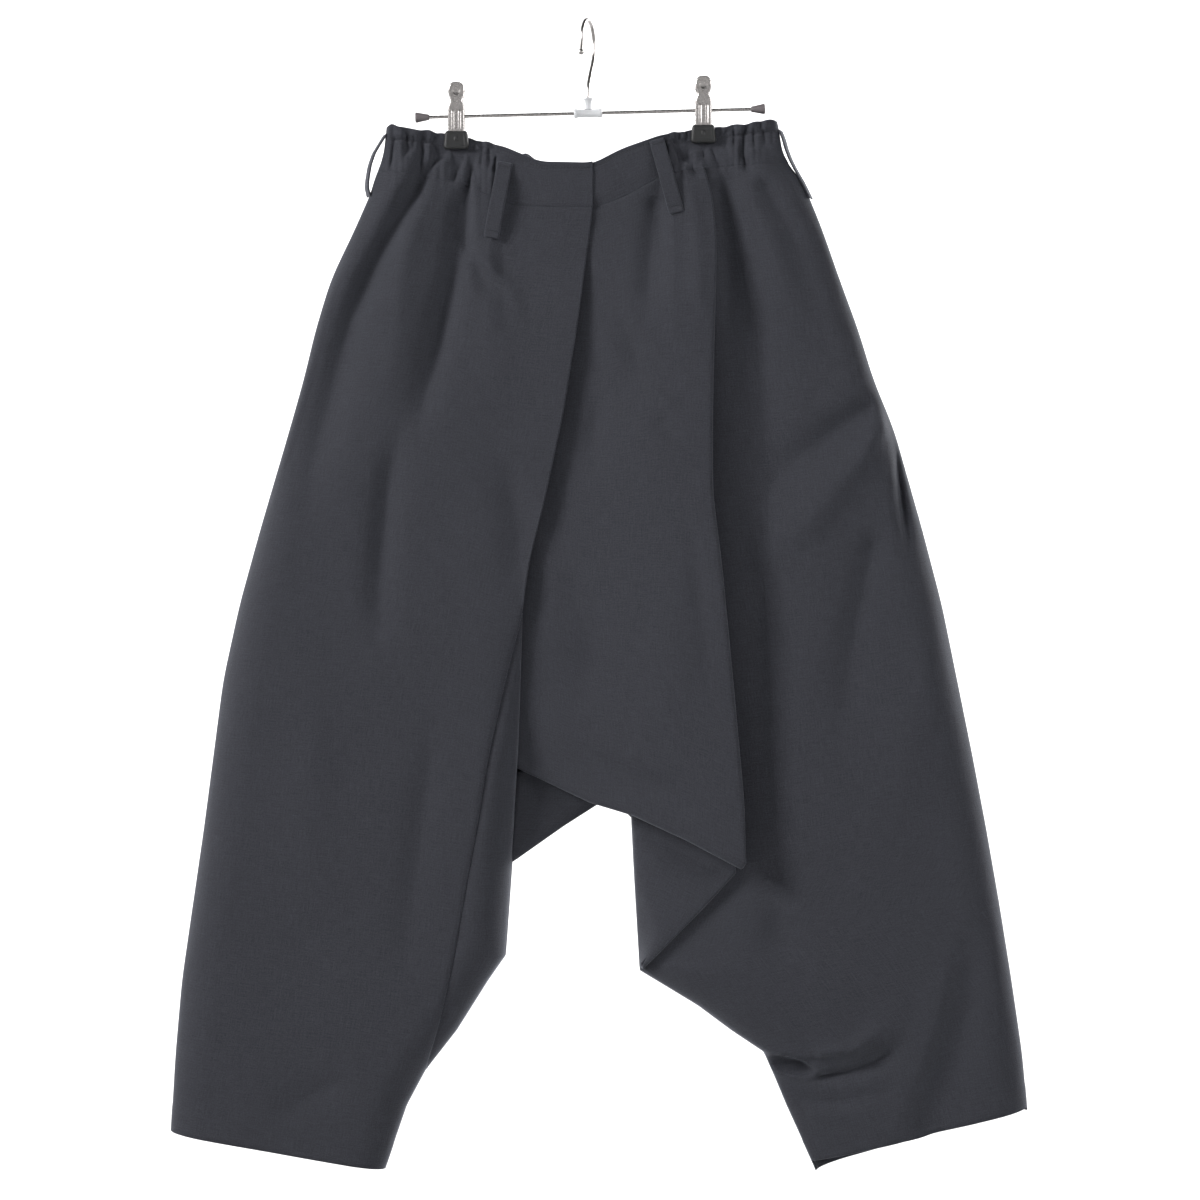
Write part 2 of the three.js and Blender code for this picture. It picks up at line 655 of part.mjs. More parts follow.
// Gusset behind the rolled edge, closing the drop crotch to the right back
const GUSSET = { top: -692, bottom: -762, depth: 4.5 };
add('gusset', wallGeometry(even(7).map((v) => {
  const z = mix(GUSSET.top, GUSSET.bottom, v);
  return even(7).reverse().map((u) => {
    const outer = z > -716 ? 14 : read(CROTCH_RIGHT_ROWS, 'z', 'x', z);
    const x = mix(rightInnerX(z) + 1.3, outer, u);
    const y = -HALF_SEAM - GUSSET.depth * roundRise(distanceToLine(x, z, CROTCH_RIGHT_ROWS), 14);
    const point = new THREE.Vector3(x, y, z);
    if (u === 1 && z < -716) point.normal = OUT_LEFT;
    return point;
  });
}), WALL), CLOTH);

// Waistbands: the lower row follows the top row of the panels sewn to it, the others take the finer gathers
function bandGrid({ seamRow, divide, topZ, depthY, startNormal, endNormal }) {
  const lower = [];
  seamRow.forEach((p, k) => {
    if (k + 1 === seamRow.length) {
      lower.push(p.clone());
      return;
    }
    for (let i = 0; i < divide(p.x); i += 1) lower.push(p.clone().lerp(seamRow[k + 1], i / divide(p.x)));
  });
  const first = lower[0];
  const last = lower[lower.length - 1];
  return even(3).map((v) => lower.map((p, j) => {
    const share = (p.x - first.x) / (last.x - first.x);
    const seamZ = p.z + SEAM;
    const level = mix(topZ(p.x), seamZ, v);
    const from = startNormal ? sideX('right', level) : first.x;
    const to = endNormal ? sideX('left', level) : last.x;
    const x = v === 1 ? p.x : mix(from, to, share);
    const z = mix(topZ(x), seamZ, v);
    const point = new THREE.Vector3(x, v === 1 ? p.y : depthY(x, z), z);
    if (j === 0 && startNormal) point.normal = startNormal;
    if (j === lower.length - 1 && endNormal) point.normal = endNormal;
    return point;
  }));
}
add('waistband_front_right', wallGeometry(reversed(bandGrid({
  seamRow: frontRightGrid[0],
  divide: (x) => (x < -60 ? 3 : 2),
  topZ: bandTop,
  depthY: rightFrontY,
  startNormal: OUT_RIGHT,
})), WALL), CLOTH);
const pleatTop = centreMain[0][centreMain[0].length - 1].x;
add('waistband_front_left', wallGeometry(reversed(bandGrid({
  seamRow: [...centreMain[0], ...frontLeftGrid[0].filter((p) => p.x > pleatTop + 5)],
  divide: (x) => (x > 50 ? 3 : 2),
  topZ: (x) => bandTop(x) - 1,
  depthY: (x, z) => -HALF_SEAM - bodyDepth(x, z) + gathers(x, z, true) * calm(sideDistance(x, z)),
  endNormal: OUT_LEFT,
})), WALL), CLOTH);
const BACK_BUMP = { x: -54, height: 7, reach: 16 };
add('waistband_back', wallGeometry(bandGrid({
  seamRow: [...backRightGrid[0], ...backLeftGrid[0].slice(1)],
  divide: (x) => (Math.abs(x) > 160 ? 1 : 2),
  topZ: (x) => bandTop(x) - 2 + BACK_BUMP.height * (1 - smooth(Math.abs(x - BACK_BUMP.x) / BACK_BUMP.reach)),
  depthY: (x, z) => HALF_SEAM + bodyDepth(x, z) - gathers(x, z, false) * calm(sideDistance(x, z)),
  startNormal: OUT_RIGHT,
  endNormal: OUT_LEFT,
}), WALL), CLOTH);

// Belt loops: flat strips from the band's upper edge to just below its seam, moved out from the cloth
const LOOP_WALL = 1.2;
const LOOP_HALF = 6.2;
const LOOP_RISE = 2.4;
const LOOPS = [
  { name: 'loop_front_right', topX: -79, topZ: -136, endX: -94, endZ: -198, face: rightFrontY, side: -1, seat: 1.9 },
  { name: 'loop_front_left', topX: 58, topZ: -115, endX: 81, endZ: -178, face: frontSkin, side: -1, seat: 0.6 },
  { name: 'loop_back', topX: 20, topZ: -132, endX: 22, endZ: -190, face: leftBackY, side: 1, seat: 0.8 },
];
function frontSkin(x, z) {
  return z > bandBottom(x) ? -HALF_SEAM - bodyDepth(x, z) + gathers(x, z, true) : centreY(x, z);
}
for (const loop of LOOPS) {
  const along = new THREE.Vector3(loop.endX - loop.topX, 0, loop.endZ - loop.topZ).normalize();
  const across = new THREE.Vector3(-along.z, 0, along.x);
  const grid = even(10).map((v) => even(2).map((u) => {
    const x = mix(loop.topX, loop.endX, v) + across.x * LOOP_HALF * (2 * u - 1);
    const z = mix(loop.topZ, loop.endZ, v) + across.z * LOOP_HALF * (2 * u - 1);
    const centreX = mix(loop.topX, loop.endX, v);
    const skins = [-1, -0.5, 0, 0.5, 1].map((s) => loop.side * loop.face(centreX + s * LOOP_HALF, z));
    const off = (WALL + LOOP_WALL) / 2 + loop.seat + LOOP_RISE * Math.sin(Math.PI * v);
    return new THREE.Vector3(x, loop.side * (Math.max(...skins) + off), z);
  }));
  add(loop.name, wallGeometry(loop.side < 0 ? reversed(grid) : grid, LOOP_WALL), CLOTH);
}

// Side loops stand out edge-on from the side seams
const SIDE_LOOPS = [
  {
    name: 'loop_side_right',
    rows: [
      { x: -188.4, z: -106 },
      { x: -194, z: -113 },
      { x: -200.5, z: -122 },
      { x: -205, z: -133 },
      { x: -207.3, z: -146 },
      { x: -206.4, z: -154 },
      { x: -203.8, z: -160 },
    ],
    out: -1,
  },
  {
    name: 'loop_side_left',
    rows: [
      { x: 178, z: -100 },
      { x: 184, z: -107 },
      { x: 190.5, z: -117 },
      { x: 195.5, z: -128 },
      { x: 200, z: -140 },
      { x: 203.2, z: -152 },
      { x: 205.1, z: -162 },
    ],
    out: 1,
  },
];
for (const loop of SIDE_LOOPS) {
  const grid = loop.rows.map((row) => even(2).map((u) => (
    new THREE.Vector3(row.x, loop.out * LOOP_HALF * (2 * u - 1), row.z)
  )));
  add(loop.name, wallGeometry(grid, LOOP_WALL), CLOTH);
}

// Solids for the hanger
function solid(geometry) {
  const bare = geometry.clone();
  bare.deleteAttribute('normal');
  bare.deleteAttribute('uv');
  const merged = mergeVertices(bare, 1e-4);
  return new wasm.Manifold(new wasm.Mesh({
    numProp: 3,
    vertProperties: new Float32Array(merged.attributes.position.array),
    triVerts: new Uint32Array(merged.index.array),
  }));
}

function fromSolid(manifold) {
  const mesh = manifold.getMesh();
  const geometry = new THREE.BufferGeometry();
  geometry.setAttribute('position', new THREE.BufferAttribute(new Float32Array(mesh.vertProperties), 3));
  geometry.setIndex(new THREE.BufferAttribute(new Uint32Array(mesh.triVerts), 1));
  return geometry;
}

// A ring or sleeve about the Y axis, or a plain rod where the bore is 0
function sleeve(outer, bore, length, segments = 16) {
  const half = length / 2;
  const outline = bore > 0
    ? [[bore, -half], [outer, -half], [outer, half], [bore, half], [bore, -half]]
    : [[0, -half], [outer, -half], [outer, half], [0, half]];
  return new THREE.LatheGeometry(outline.map(([x, y]) => new THREE.Vector2(x, y)), segments);
}

const ROD_VECTOR = new THREE.Vector3(ROD.end.x - ROD.start.x, 0, ROD.end.z - ROD.start.z);
const ROD_LENGTH = ROD_VECTOR.length();
const rodZ = (x) => mix(ROD.start.z, ROD.end.z, (x - ROD.start.x) / (ROD.end.x - ROD.start.x));
const ROD_TURN = new THREE.Quaternion().setFromUnitVectors(new THREE.Vector3(0, 1, 0), ROD_VECTOR.clone().normalize());

const hanger = new THREE.Group();
part.add(hanger);

const rod = add('hanger_rod', sleeve(ROD.radius, 0, ROD_LENGTH - 2 * (CAP.length - CAP.socket) - 2 * BORE_GAP, 12), STEEL, hanger);
rod.position.set((ROD.start.x + ROD.end.x) / 2, 0, (ROD.start.z + ROD.end.z) / 2);
rod.quaternion.copy(ROD_TURN);

const capOutline = [
  [0, CAP.length], [CAP.large, CAP.length], [CAP.large, CAP.length - 2], [CAP.small, 0],
  [ROD.radius + BORE_GAP, 0], [ROD.radius + BORE_GAP, CAP.socket], [0, CAP.socket],
];
for (const [name, end, sign] of [['hanger_cap_right', ROD.start, -1], ['hanger_cap_left', ROD.end, 1]]) {
  const outline = capOutline.map(([x, y]) => new THREE.Vector2(x, y)).reverse();
  const cap = add(name, new THREE.LatheGeometry(outline, 16), GREY_PLASTIC, hanger);
  const toTip = ROD_VECTOR.clone().normalize().multiplyScalar(sign);
  cap.quaternion.setFromUnitVectors(new THREE.Vector3(0, 1, 0), toTip);
  cap.position.set(end.x, 0, end.z).addScaledVector(toTip, -CAP.length);
}

// Hook: a straight stem, a sweep to one side and the bend over the rail, in an upright plane
const HOOK_CENTRE_Z = WIRE_RADIUS - HOOK_RADIUS;
const STEM_FOOT = -76;
const hookPlane = (reach, z) => new THREE.Vector3(reach * Math.sin(HOOK_TURN), reach * Math.cos(HOOK_TURN), z);
const hookPoints = [
  hookPlane(0, STEM_FOOT), hookPlane(0, -66), hookPlane(1.5, -58), hookPlane(7, -48),
  hookPlane(14, -38), hookPlane(18.6, -29),
];
for (let k = 0; k <= 8; k += 1) {
  const angle = mix(-0.06, 1.02, k / 8) * Math.PI;
  hookPoints.push(hookPlane(HOOK_RADIUS * Math.cos(angle), HOOK_CENTRE_Z + HOOK_RADIUS * Math.sin(angle)));
}
hookPoints.push(hookPlane(-22.4, -30));
const wireSection = new THREE.Shape();
wireSection.absarc(0, 0, WIRE_RADIUS, 0, 2 * Math.PI);
const hookWire = new THREE.ExtrudeGeometry(wireSection, {
  steps: 40, curveSegments: 5, extrudePath: new THREE.CatmullRomCurve3(hookPoints),
});
const ball = new THREE.SphereGeometry(HOOK_BALL_RADIUS, 12, 8);
ball.translate(...hookPlane(-22.4, -31).toArray());
add('hanger_hook', fromSolid(solid(hookWire).add(solid(ball))), STEEL, hanger);

// Hub: a sleeve on the rod with an upright boss that holds the stem
const hubSleeve = solid(sleeve(HUB.radius, ROD.radius + BORE_GAP, HUB.length, 20)
  .applyQuaternion(ROD_TURN).translate(0, 0, rodZ(0)));
const bossBore = new THREE.CylinderGeometry(WIRE_RADIUS + BORE_GAP, WIRE_RADIUS + BORE_GAP, 12, 16);
bossBore.rotateX(Math.PI / 2).translate(0, 0, STEM_FOOT - BORE_GAP + 6);
const boss = new THREE.CylinderGeometry(HUB.bossRadius, HUB.bossRadius, HUB.bossHeight, 20);
boss.rotateX(Math.PI / 2).translate(0, 0, rodZ(0) + 2.6 + HUB.bossHeight / 2);
add('hanger_hub', fromSolid(hubSleeve.add(solid(boss)).subtract(solid(bossBore))), CLEAR_PLASTIC, hanger);

// Clips: front and back plates, a rubber pad on each jaw and a spring barrel on the rod
for (const clip of CLIPS) {
  const level = rodZ(clip.x);
  for (const [face, side] of [['front', -1], ['back', 1]]) {
    const plateGrid = CLIP_ROWS.map((row) => even(2).map((u) => (
      new THREE.Vector3(clip.x + row.halfWidth * (2 * u - 1), side * row.y, level + row.rise)
    )));
    const padGrid = even(2).map((v) => even(4).map((u) => (
      new THREE.Vector3(
        clip.x + mix(PAD.halfTop, PAD.halfBottom, v) * (2 * u - 1),
        side * (PINCH + HALF_SEAM + WALL / 2 + SEAM + PAD.thick / 2),
        level + mix(PAD.top, PAD.bottom, v),
      )
    )));
    const facing = (grid) => (side < 0 ? reversed(grid) : grid);
    add(`${clip.name}_${face}`, wallGeometry(facing(plateGrid), PLATE), STEEL, hanger);
    add(`${clip.name}_pad_${face}`, wallGeometry(facing(padGrid), PAD.thick), RUBBER, hanger);
  }
  const spring = add(`${clip.name}_spring`, sleeve(SPRING.radius, ROD.radius + BORE_GAP, SPRING.length), STEEL, hanger);
  spring.quaternion.copy(ROD_TURN);
  spring.position.set(clip.x, 0, level);
}

export default part;
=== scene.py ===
import math
import bmesh
import bpy
import numpy as np
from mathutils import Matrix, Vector


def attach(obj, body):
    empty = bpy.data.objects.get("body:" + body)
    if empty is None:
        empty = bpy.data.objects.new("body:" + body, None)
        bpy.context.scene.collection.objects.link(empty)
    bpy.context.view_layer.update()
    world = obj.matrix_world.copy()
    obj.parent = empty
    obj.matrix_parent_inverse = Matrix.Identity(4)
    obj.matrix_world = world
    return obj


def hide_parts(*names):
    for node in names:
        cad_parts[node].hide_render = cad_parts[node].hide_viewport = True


# Drop-crotch wrap trousers on a two-clip hanger. Tables and sizes are in millimetres, the scene in metres.
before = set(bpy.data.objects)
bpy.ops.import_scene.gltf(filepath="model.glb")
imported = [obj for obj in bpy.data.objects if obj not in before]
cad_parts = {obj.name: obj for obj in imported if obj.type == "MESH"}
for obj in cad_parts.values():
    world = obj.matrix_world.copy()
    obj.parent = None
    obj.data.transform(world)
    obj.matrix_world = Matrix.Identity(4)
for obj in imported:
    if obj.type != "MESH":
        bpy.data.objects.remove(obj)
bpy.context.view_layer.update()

MM = 0.001

# Cloth: its wall, the slit drawn in at a seam, the step where one piece lies under another,
# the distance kept from the middle plane, and the least room kept behind a trough
CLOTH_WALL = 1.15
SEAM_PULL = 0.16
HIDDEN_LAP = 1.9
MIDDLE_GAP = 0.2
LEAST_ROOM = 0.7

# Levels: the crotch from its middle to both ends, the facet's lower corner and the pinched waist
CROTCH_Z, CROTCH_RIGHT_Z, CROTCH_LEFT_Z = -716, -772, -730
CROTCH_MIDDLE_X, CROTCH_LEFT_X = 14, 40
FACET_END_Z = -866
WAIST_END_Z = -150

# The narrow strip that goes on from the wrap edge: its ends, and where the wrap edge turns into its seam
STRIP_TOP_Z, STRIP_END_Z = -544, -962
WRAP_TURN_Z, WRAP_END_Z = -552, -960
STRIP_SEAM_Z = -548

# Places on X: the flat stretch of the waist, a far value past both sides, the clips, the centre seam
# behind, and the inner ends of the right and the left front band
FLAT_FROM, FLAT_TO, FAR = -76, 64, 400
CLIP_X = (-121, 106)
CENTRE_BACK = 26
BAND_END_X, BAND_START_X = 4.0, -22.0

# Waist: its half depth in a clip, the header's height where it is flat and gathered, the phases of
# its puckers on the left and behind, and the share of the front's belly that the back has
PINCH = 1.05
FLAT_HEADER, GATHERED_HEADER = 4.6, 10.6
LEFT_PHASE, BACK_PHASE = 2.0, 4.0
BACK_SWELL = 0.6

# How far in from an edge the folds fade, and the rounding of a leg's inner side
EDGE_CALM, LEG_ROUNDING = 11, 34


def table(columns, *rows):
    """A short table: one array for each named column."""
    return {name: np.array([row[k] for row in rows], float) for k, name in enumerate(columns.split())}


# Side seams from the waist to the hem: the place of each on X at each level
SIDES = table(
    "z right left",
    (-90, -184, 173), (-98, -185, 175), (-118, -187, 178), (-130, -190, 183), (-144, -195.5, 194),
    (-159, -200, 202), (-191, -214, 215), (-237, -236, 231), (-283, -250, 248), (-329, -261, 262),
    (-375, -274, 281), (-467, -301, 307),
    (-536, -320, 325), (-605, -335, 339), (-674, -344, 353), (-743, -353, 366), (-812, -363, 378),
    (-881, -373, 389), (-950, -379, 399), (-1019, -383, 405), (-1070, -385, 407),
)

# Inner outline of the right leg's front: the valley beside the wrap, then the inner leg to the hem
RIGHT_INNER = table(
    "x z",
    (-60, -500), (-60, -545), (-62, -604), (-64, -663), (-68, -726), (-70, -772), (-76, -858),
    (-92, -881), (-121, -927), (-150, -964), (-167, -996), (-187, -1054), (-195, -1090),
)

# Crotch edge towards the right leg, and the left leg's inner outline from the crotch to the hem
CROTCH_RIGHT = table("x z", (CROTCH_MIDDLE_X, CROTCH_Z), (-22, -739), (-69, CROTCH_RIGHT_Z))
LEFT_INNER = table(
    "x z",
    (CROTCH_LEFT_X, CROTCH_LEFT_Z), (43, -789), (48, -872), (101, -904), (132, -927), (162, -947),
    (173, -972), (183, -996), (209, -1053), (222, -1090),
)

# Wrap edge of the right front, which goes on as the seam of the inner strip
WRAP = table(
    "z x",
    (-120, 4), (-174, 4), (-220, -2), (-282, -10), (-364, -23), (-443, -40), (-499, -54), (-545, -60),
    (-604, -75), (-676, -91), (-732, -100), (-808, -114), (-851, -121), (-920, -136), (-964, -150),
)

# Long pleat: its fold edge, how far it stands before the left front, and the dip beside the wrap
PLEAT = table(
    "z x proud setback",
    (-131, 104, 1, 2.4), (-157, 113, 2, 2.6), (-203, 117, 5, 4), (-282, 115, 9, 7), (-364, 113, 12, 10),
    (-435, 113, 14, 13), (-500, 121, 15, 15), (-615, 132, 17, 16), (-714, 141, 19, 22), (-790, 143, 20, 24),
)

# Rolled lower edge of the centre panel, and the facet's folded edge below it
ROLL = table("x z radius", (-64, -683, 2.6), (4, -712, 5), (43, -722, 6), (91, -743, 6.5), (142, -770, 6))
FACET = table("z x", (-764, 136), (-778, 138), (-805, 113), (FACET_END_Z, 53))

# Upper edge and lower seam of the waistband
BAND = table(
    "x top bottom",
    (-200, -97, -138), (-186, -98, -138), (-150, -100, -143), (-109, -107, -151), (-77, -116, -168),
    (-44, -130, -171), (4, -131, -172), (31, -117, -163), (71, -103, -141), (100, -98, -136),
    (140, -94, -133), (186, -90, -131), (210, -90, -131),
)

# Half depth of the body and the rounding at its sides, how far the right leg closes at its inner side,
# and two points of each hem
DEPTH = table(
    "z depth rounding",
    (-90, 7, 7), (-140, 9, 12), (-250, 21, 24), (-400, 31, 32), (-550, 37, 38), (-750, 35, 38),
    (-900, 30, 36), (-1060, 21, 34),
)
CLOSING = table("z share", (-500, 0), (-560, 0.14), (-620, 0.38), (-690, 0.63), (CROTCH_RIGHT_Z, 1))
HEMS = {
    "right": ((-383, -1019), (-187, -1054)),
    "left_front": ((405, -996.5), (213, -1045)),
    "left_back": ((405, -1000), (209, -1056)),
}


def crease(depth, start, end, *path, sharp=1.7, head=0.12, tail=0.45):
    """A trough (depth over 0) or ridge (under 0) along a path, with its half width at each end."""
    shape = {"depth": depth, "start": start, "end": end, "sharp": sharp, "head": head, "tail": tail}
    return {**shape, "path": path}


def drag(*shape, head=0.4, **more):
    """A crease that also begins slowly, as a drag line does."""
    return crease(*shape, head=head, **more)


# Gathers of the elastic waist: from the header stitching down into the panels
RIGHT_GATHERS = (
    crease(3.2, 2.2, 4, (-177, -106), (-179, -127), (-184, -145)),
    crease(5.1, 2, 3.6, (-167, -104), (-166, -118), (-167, -129)),
    crease(3.2, 1.8, 2.6, (-160, -105), (-161, -123)),
    crease(8.2, 2.4, 9, (-154, -104), (-152, -120), (-155, -138), (-158, -155), (-172, -184)),
    crease(3.9, 2, 4, (-142, -106), (-139, -120), (-147, -134)),
    crease(7.5, 2.4, 7, (-132, -116), (-145, -135), (-154, -149), (-164, -170), tail=0.3),
    crease(5.5, 2, 4, (-115, -121), (-119, -136), (-126, -152), tail=0.3),
    crease(3.4, 2.2, 3, (-133, -116), (-134, -132)),
    crease(4.7, 2, 4, (-122, -118), (-123, -130), (-127, -142)),
    crease(5.1, 2, 4.5, (-116, -113), (-117, -124), (-122, -143)),
    crease(
        12, 2.2, 5, (-107, -124), (-108, -141), (-111, -163), (-113, -200), (-109, -224),
        sharp=1.2, tail=0.25,
    ),
    crease(-3, 3, 5, (-103, -150), (-104, -180), (-102, -206), tail=0.3),
    crease(4.3, 1.8, 3, (-105, -120), (-105, -134), (-102, -147)),
    crease(3.4, 1.6, 3, (-97, -118), (-99, -138)),
    crease(5.1, 1.8, 3.4, (-91, -116), (-90, -127), (-91, -139)),
    crease(4.7, 1.8, 3, (-84, -124), (-86, -144)),
    crease(3.8, 1.6, 2.4, (-109, -108), (-96, -115), (-82, -119), (-74, -126)),
    crease(-2.6, 4, 6, (-146, -112), (-146, -135)),
    crease(-2.1, 3.5, 5, (-172, -110), (-173, -132)),
    crease(-2.3, 3, 5, (-107, -130), (-106, -160)),
)
LEFT_GATHERS = (
    crease(4.7, 1.8, 3, (70, -108), (72, -126)),
    crease(5.4, 1.8, 4, (78, -108), (85, -134), (86, -153)),
    crease(8.6, 2.2, 4, (80, -110), (88, -126), (97, -138), (107, -146), sharp=1.3, tail=0.25),
    crease(5, 2, 3.4, (90, -116), (94, -128), (97, -134)),
    crease(-2.8, 4, 6, (96, -120), (103, -134)),
    crease(5.1, 1.5, 2.4, (106, -112), (106, -130)),
    crease(3.8, 1.6, 3, (114, -117), (118, -130), (123, -141)),
    crease(3.4, 1.6, 2.8, (127, -100), (126, -122)),
    crease(3, 1.5, 2.6, (135, -100), (134, -120)),
    crease(8.2, 2.6, 6, (144, -99), (143, -123), (149, -150)),
    crease(3.9, 1.8, 3, (152, -99), (152, -122)),
    crease(3.2, 1.6, 3, (161, -100), (163, -120)),
    crease(2.7, 1.6, 3, (169, -100), (170, -118)),
    crease(5.8, 1.8, 4.5, (175, -100), (177, -118), (179, -128), (188, -142)),
    crease(-2.6, 3.5, 6, (148, -112), (150, -134)),
    crease(-2.3, 3, 5, (181, -106), (186, -128)),
)

# Longer folds of each panel, and the tuck at the left leg's inner hem
RIGHT_FRONT_FOLDS = (
    crease(
        17, 8, 26,
        (-157, -150), (-172, -182), (-194, -222), (-217, -274), (-237, -348), (-254, -412), (-265, -500),
    ),
    crease(14.9, 9, 15, (-116, -160), (-122, -228), (-134, -283), (-150, -348), (-158, -400)),
    drag(9.5, 11, 14, (-168, -360), (-183, -430), (-189, -504), (-190, -600)),
    crease(-4.6, 13, 20, (-162, -178), (-168, -219), (-173, -290), (-196, -380)),
    drag(-3.1, 4, 9, (-107, -203), (-96, -220), (-72, -247), (-53, -283)),
    drag(5.5, 5, 9, (-108, -216), (-98, -236), (-82, -262)),
    drag(-4.1, 20, 28, (-84, -225), (-82, -300), (-96, -380)),
    drag(6.4, 14, 18, (-78, -400), (-60, -470), (-68, -540)),
    drag(3.9, 12, 16, (-136, -624), (-155, -762), (-173, -900)),
    drag(-3.1, 26, 30, (-240, -560), (-252, -700), (-262, -860)),
    drag(3.4, 12, 16, (-210, -964), (-265, -992), (-302, -1001)),
)
LEFT_FRONT_FOLDS = (
    crease(9, 6, 15, (122, -142), (127, -170), (130, -230), (128, -330), tail=0.6),
    crease(
        13.2, 16, 40,
        (132, -150), (142, -219), (152, -293), (158, -375), (158, -458), (160, -578), (166, -730),
    ),
    crease(-8.2, 10, 26, (276, -358), (246, -405), (200, -458), (156, -496), (140, -520)),
    crease(9.6, 12, 22, (262, -352), (218, -385), (172, -415), (136, -430)),
    crease(7.2, 12, 24, (262, -470), (243, -569), (228, -690)),
    crease(10.2, 2.5, 5, (276, -360), (282, -385), (287, -440), (294, -505), sharp=1.2),
    crease(-3, 3, 6, (284, -362), (291, -400), (296, -470)),
    drag(
        6.5, 12, 24, (354, -815), (350, -866), (345, -905), (336, -945), (324, -985), (316, -1025),
        tail=0.03, sharp=2.2,
    ),
    drag(-3.2, 10, 14, (330, -830), (322, -885), (308, -940), (292, -985), (282, -1025), tail=0.03, sharp=2),
    drag(-5.2, 24, 30, (318, -541), (290, -661), (262, -800)),
    drag(8.4, 12, 20, (146, -770), (172, -810), (186, -870)),
    drag(-5.2, 12, 16, (66, -884), (108, -914), (160, -942)),
    crease(6.6, 8, 20, (158, -145), (186, -191), (223, -274)),
    crease(-3.8, 10, 20, (140, -150), (168, -215), (205, -300)),
    crease(9.5, 3, 11, (208, -969), (236, -964), (262, -954), (296, -930), sharp=1.3),
    crease(-5.2, 5, 14, (206, -945), (240, -942), (290, -908)),
    crease(2.2, 7, 10, (190, -990), (236, -990), (282, -978)),
    crease(-2.2, 9, 12, (200, -1004), (250, -1002), (290, -992)),
)
TUCK = {"x": 184, "z": -957, "half_x": 23, "half_z": 8.5, "tilt": -0.2, "depth": 13, "rim": 3.2}
CENTRE_FOLDS = (
    crease(6.5, 9, 14, (63, -160), (57, -219), (53, -295)),
    crease(-4, 10, 12, (94, -145), (100, -201), (102, -300)),
    drag(-2.4, 6, 9, (9, -282), (22, -306), (33, -334)),
    drag(3, 7, 9, (30, -276), (44, -310), (50, -340)),
    drag(-2.7, 6, 9, (44, -326), (70, -352), (94, -390)),
    drag(-2.4, 7, 9, (26, -370), (55, -388), (90, -416)),
    drag(3.8, 8, 10, (11, -340), (4, -385), (12, -420)),
    drag(3, 7, 9, (56, -362), (74, -378), (88, -392)),
    drag(4.5, 14, 20, (-28, -490), (4, -560), (-4, -640)),
    drag(-3.2, 16, 24, (60, -520), (72, -600), (60, -690)),
    drag(3.8, 10, 16, (92, -440), (104, -550), (118, -660)),
    drag(4.2, 9, 14, (-26, -655), (32, -688), (82, -710), (124, -738)),
    drag(-1.8, 10, 12, (-50, -640), (10, -672), (60, -690)),
)
FACET_FOLDS = (
    crease(3.4, 5, 8, (52, -748), (92, -764), (124, -777)),
    crease(-2.2, 4, 5, (60, -768), (96, -776), (124, -782)),
    crease(-1.6, 6, 9, (50, -800), (66, -830), (58, -856)),
)
RIGHT_BACK_FOLDS = (
    crease(16.5, 8, 24, (-158, -146), (-180, -200), (-214, -290), (-238, -420)),
    crease(11.7, 8, 18, (-96, -150), (-104, -230), (-126, -330), (-132, -440)),
    crease(9.4, 6, 14, (-30, -165), (-42, -240), (-46, -330)),
    crease(-6.3, 12, 20, (-128, -160), (-140, -250), (-162, -350)),
    drag(16.5, 12, 26, (4, -650), (-70, -690), (-150, -750), (-216, -830), head=0.5),
    drag(-7.8, 14, 26, (0, -600), (-90, -640), (-190, -700), (-264, -790), head=0.5),
    drag(11.7, 14, 24, (-6, -540), (-110, -580), (-230, -640), head=0.5),
    drag(8.1, 10, 16, (-24, -706), (-80, -790), (-130, -880), head=0.5),
    drag(7.1, 12, 16, (-230, -880), (-250, -960), (-240, -1020), head=0.5),
    drag(-4.7, 20, 26, (-290, -600), (-306, -720), (-320, -860), head=0.5),
)
LEFT_BACK_FOLDS = (
    crease(16.5, 8, 24, (150, -142), (168, -200), (200, -290), (226, -400)),
    crease(11.7, 8, 18, (92, -150), (98, -230), (112, -330), (116, -430)),
    crease(9.4, 6, 12, (58, -160), (64, -230), (62, -310)),
    crease(-6.3, 12, 20, (122, -150), (134, -240), (152, -350)),
    drag(16.5, 12, 26, (50, -660), (116, -700), (190, -760), (262, -850), head=0.5),
    drag(-7.8, 14, 26, (54, -606), (140, -646), (236, -710), (312, -800), head=0.5),
    drag(11.7, 14, 24, (58, -540), (160, -590), (280, -650), head=0.5),
    drag(8.1, 10, 16, (60, -790), (110, -850), (168, -900), head=0.5),
    drag(8.2, 8, 14, (186, -962), (230, -960), (284, -930), sharp=1.2, head=0.5),
    drag(9.4, 8, 14, (330, -850), (312, -930), (292, -1000), head=0.5),
    drag(-4.7, 20, 26, (318, -600), (330, -720), (342, -840), head=0.5),
)

# Finishes: colours as linear values
CLOTH_COLOUR = (0.0305, 0.0316, 0.0388)
THREAD_COLOUR = (0.028, 0.029, 0.034)
STEEL_COLOUR = (0.42, 0.4, 0.39)
CAP_COLOUR = (0.13, 0.115, 0.12)
CLEAR_COLOUR = (0.82, 0.83, 0.85)
RUBBER_COLOUR = (0.02, 0.0205, 0.021)

# Weave, per metre: slubs along a thread, threads side by side, and the bloom of lighter fibre
SLUB, THREADS, BLOOM = 60, 1500, 700


# Reading tables and simple shapes

def mix(a, b, t):
    return a + (b - a) * t


def smooth(t):
    t = np.clip(t, 0, 1)
    return t * t * (3 - 2 * t)


def read(rows, key, column, at):
    order = np.argsort(rows[key])
    return np.interp(at, rows[key][order], rows[column][order])


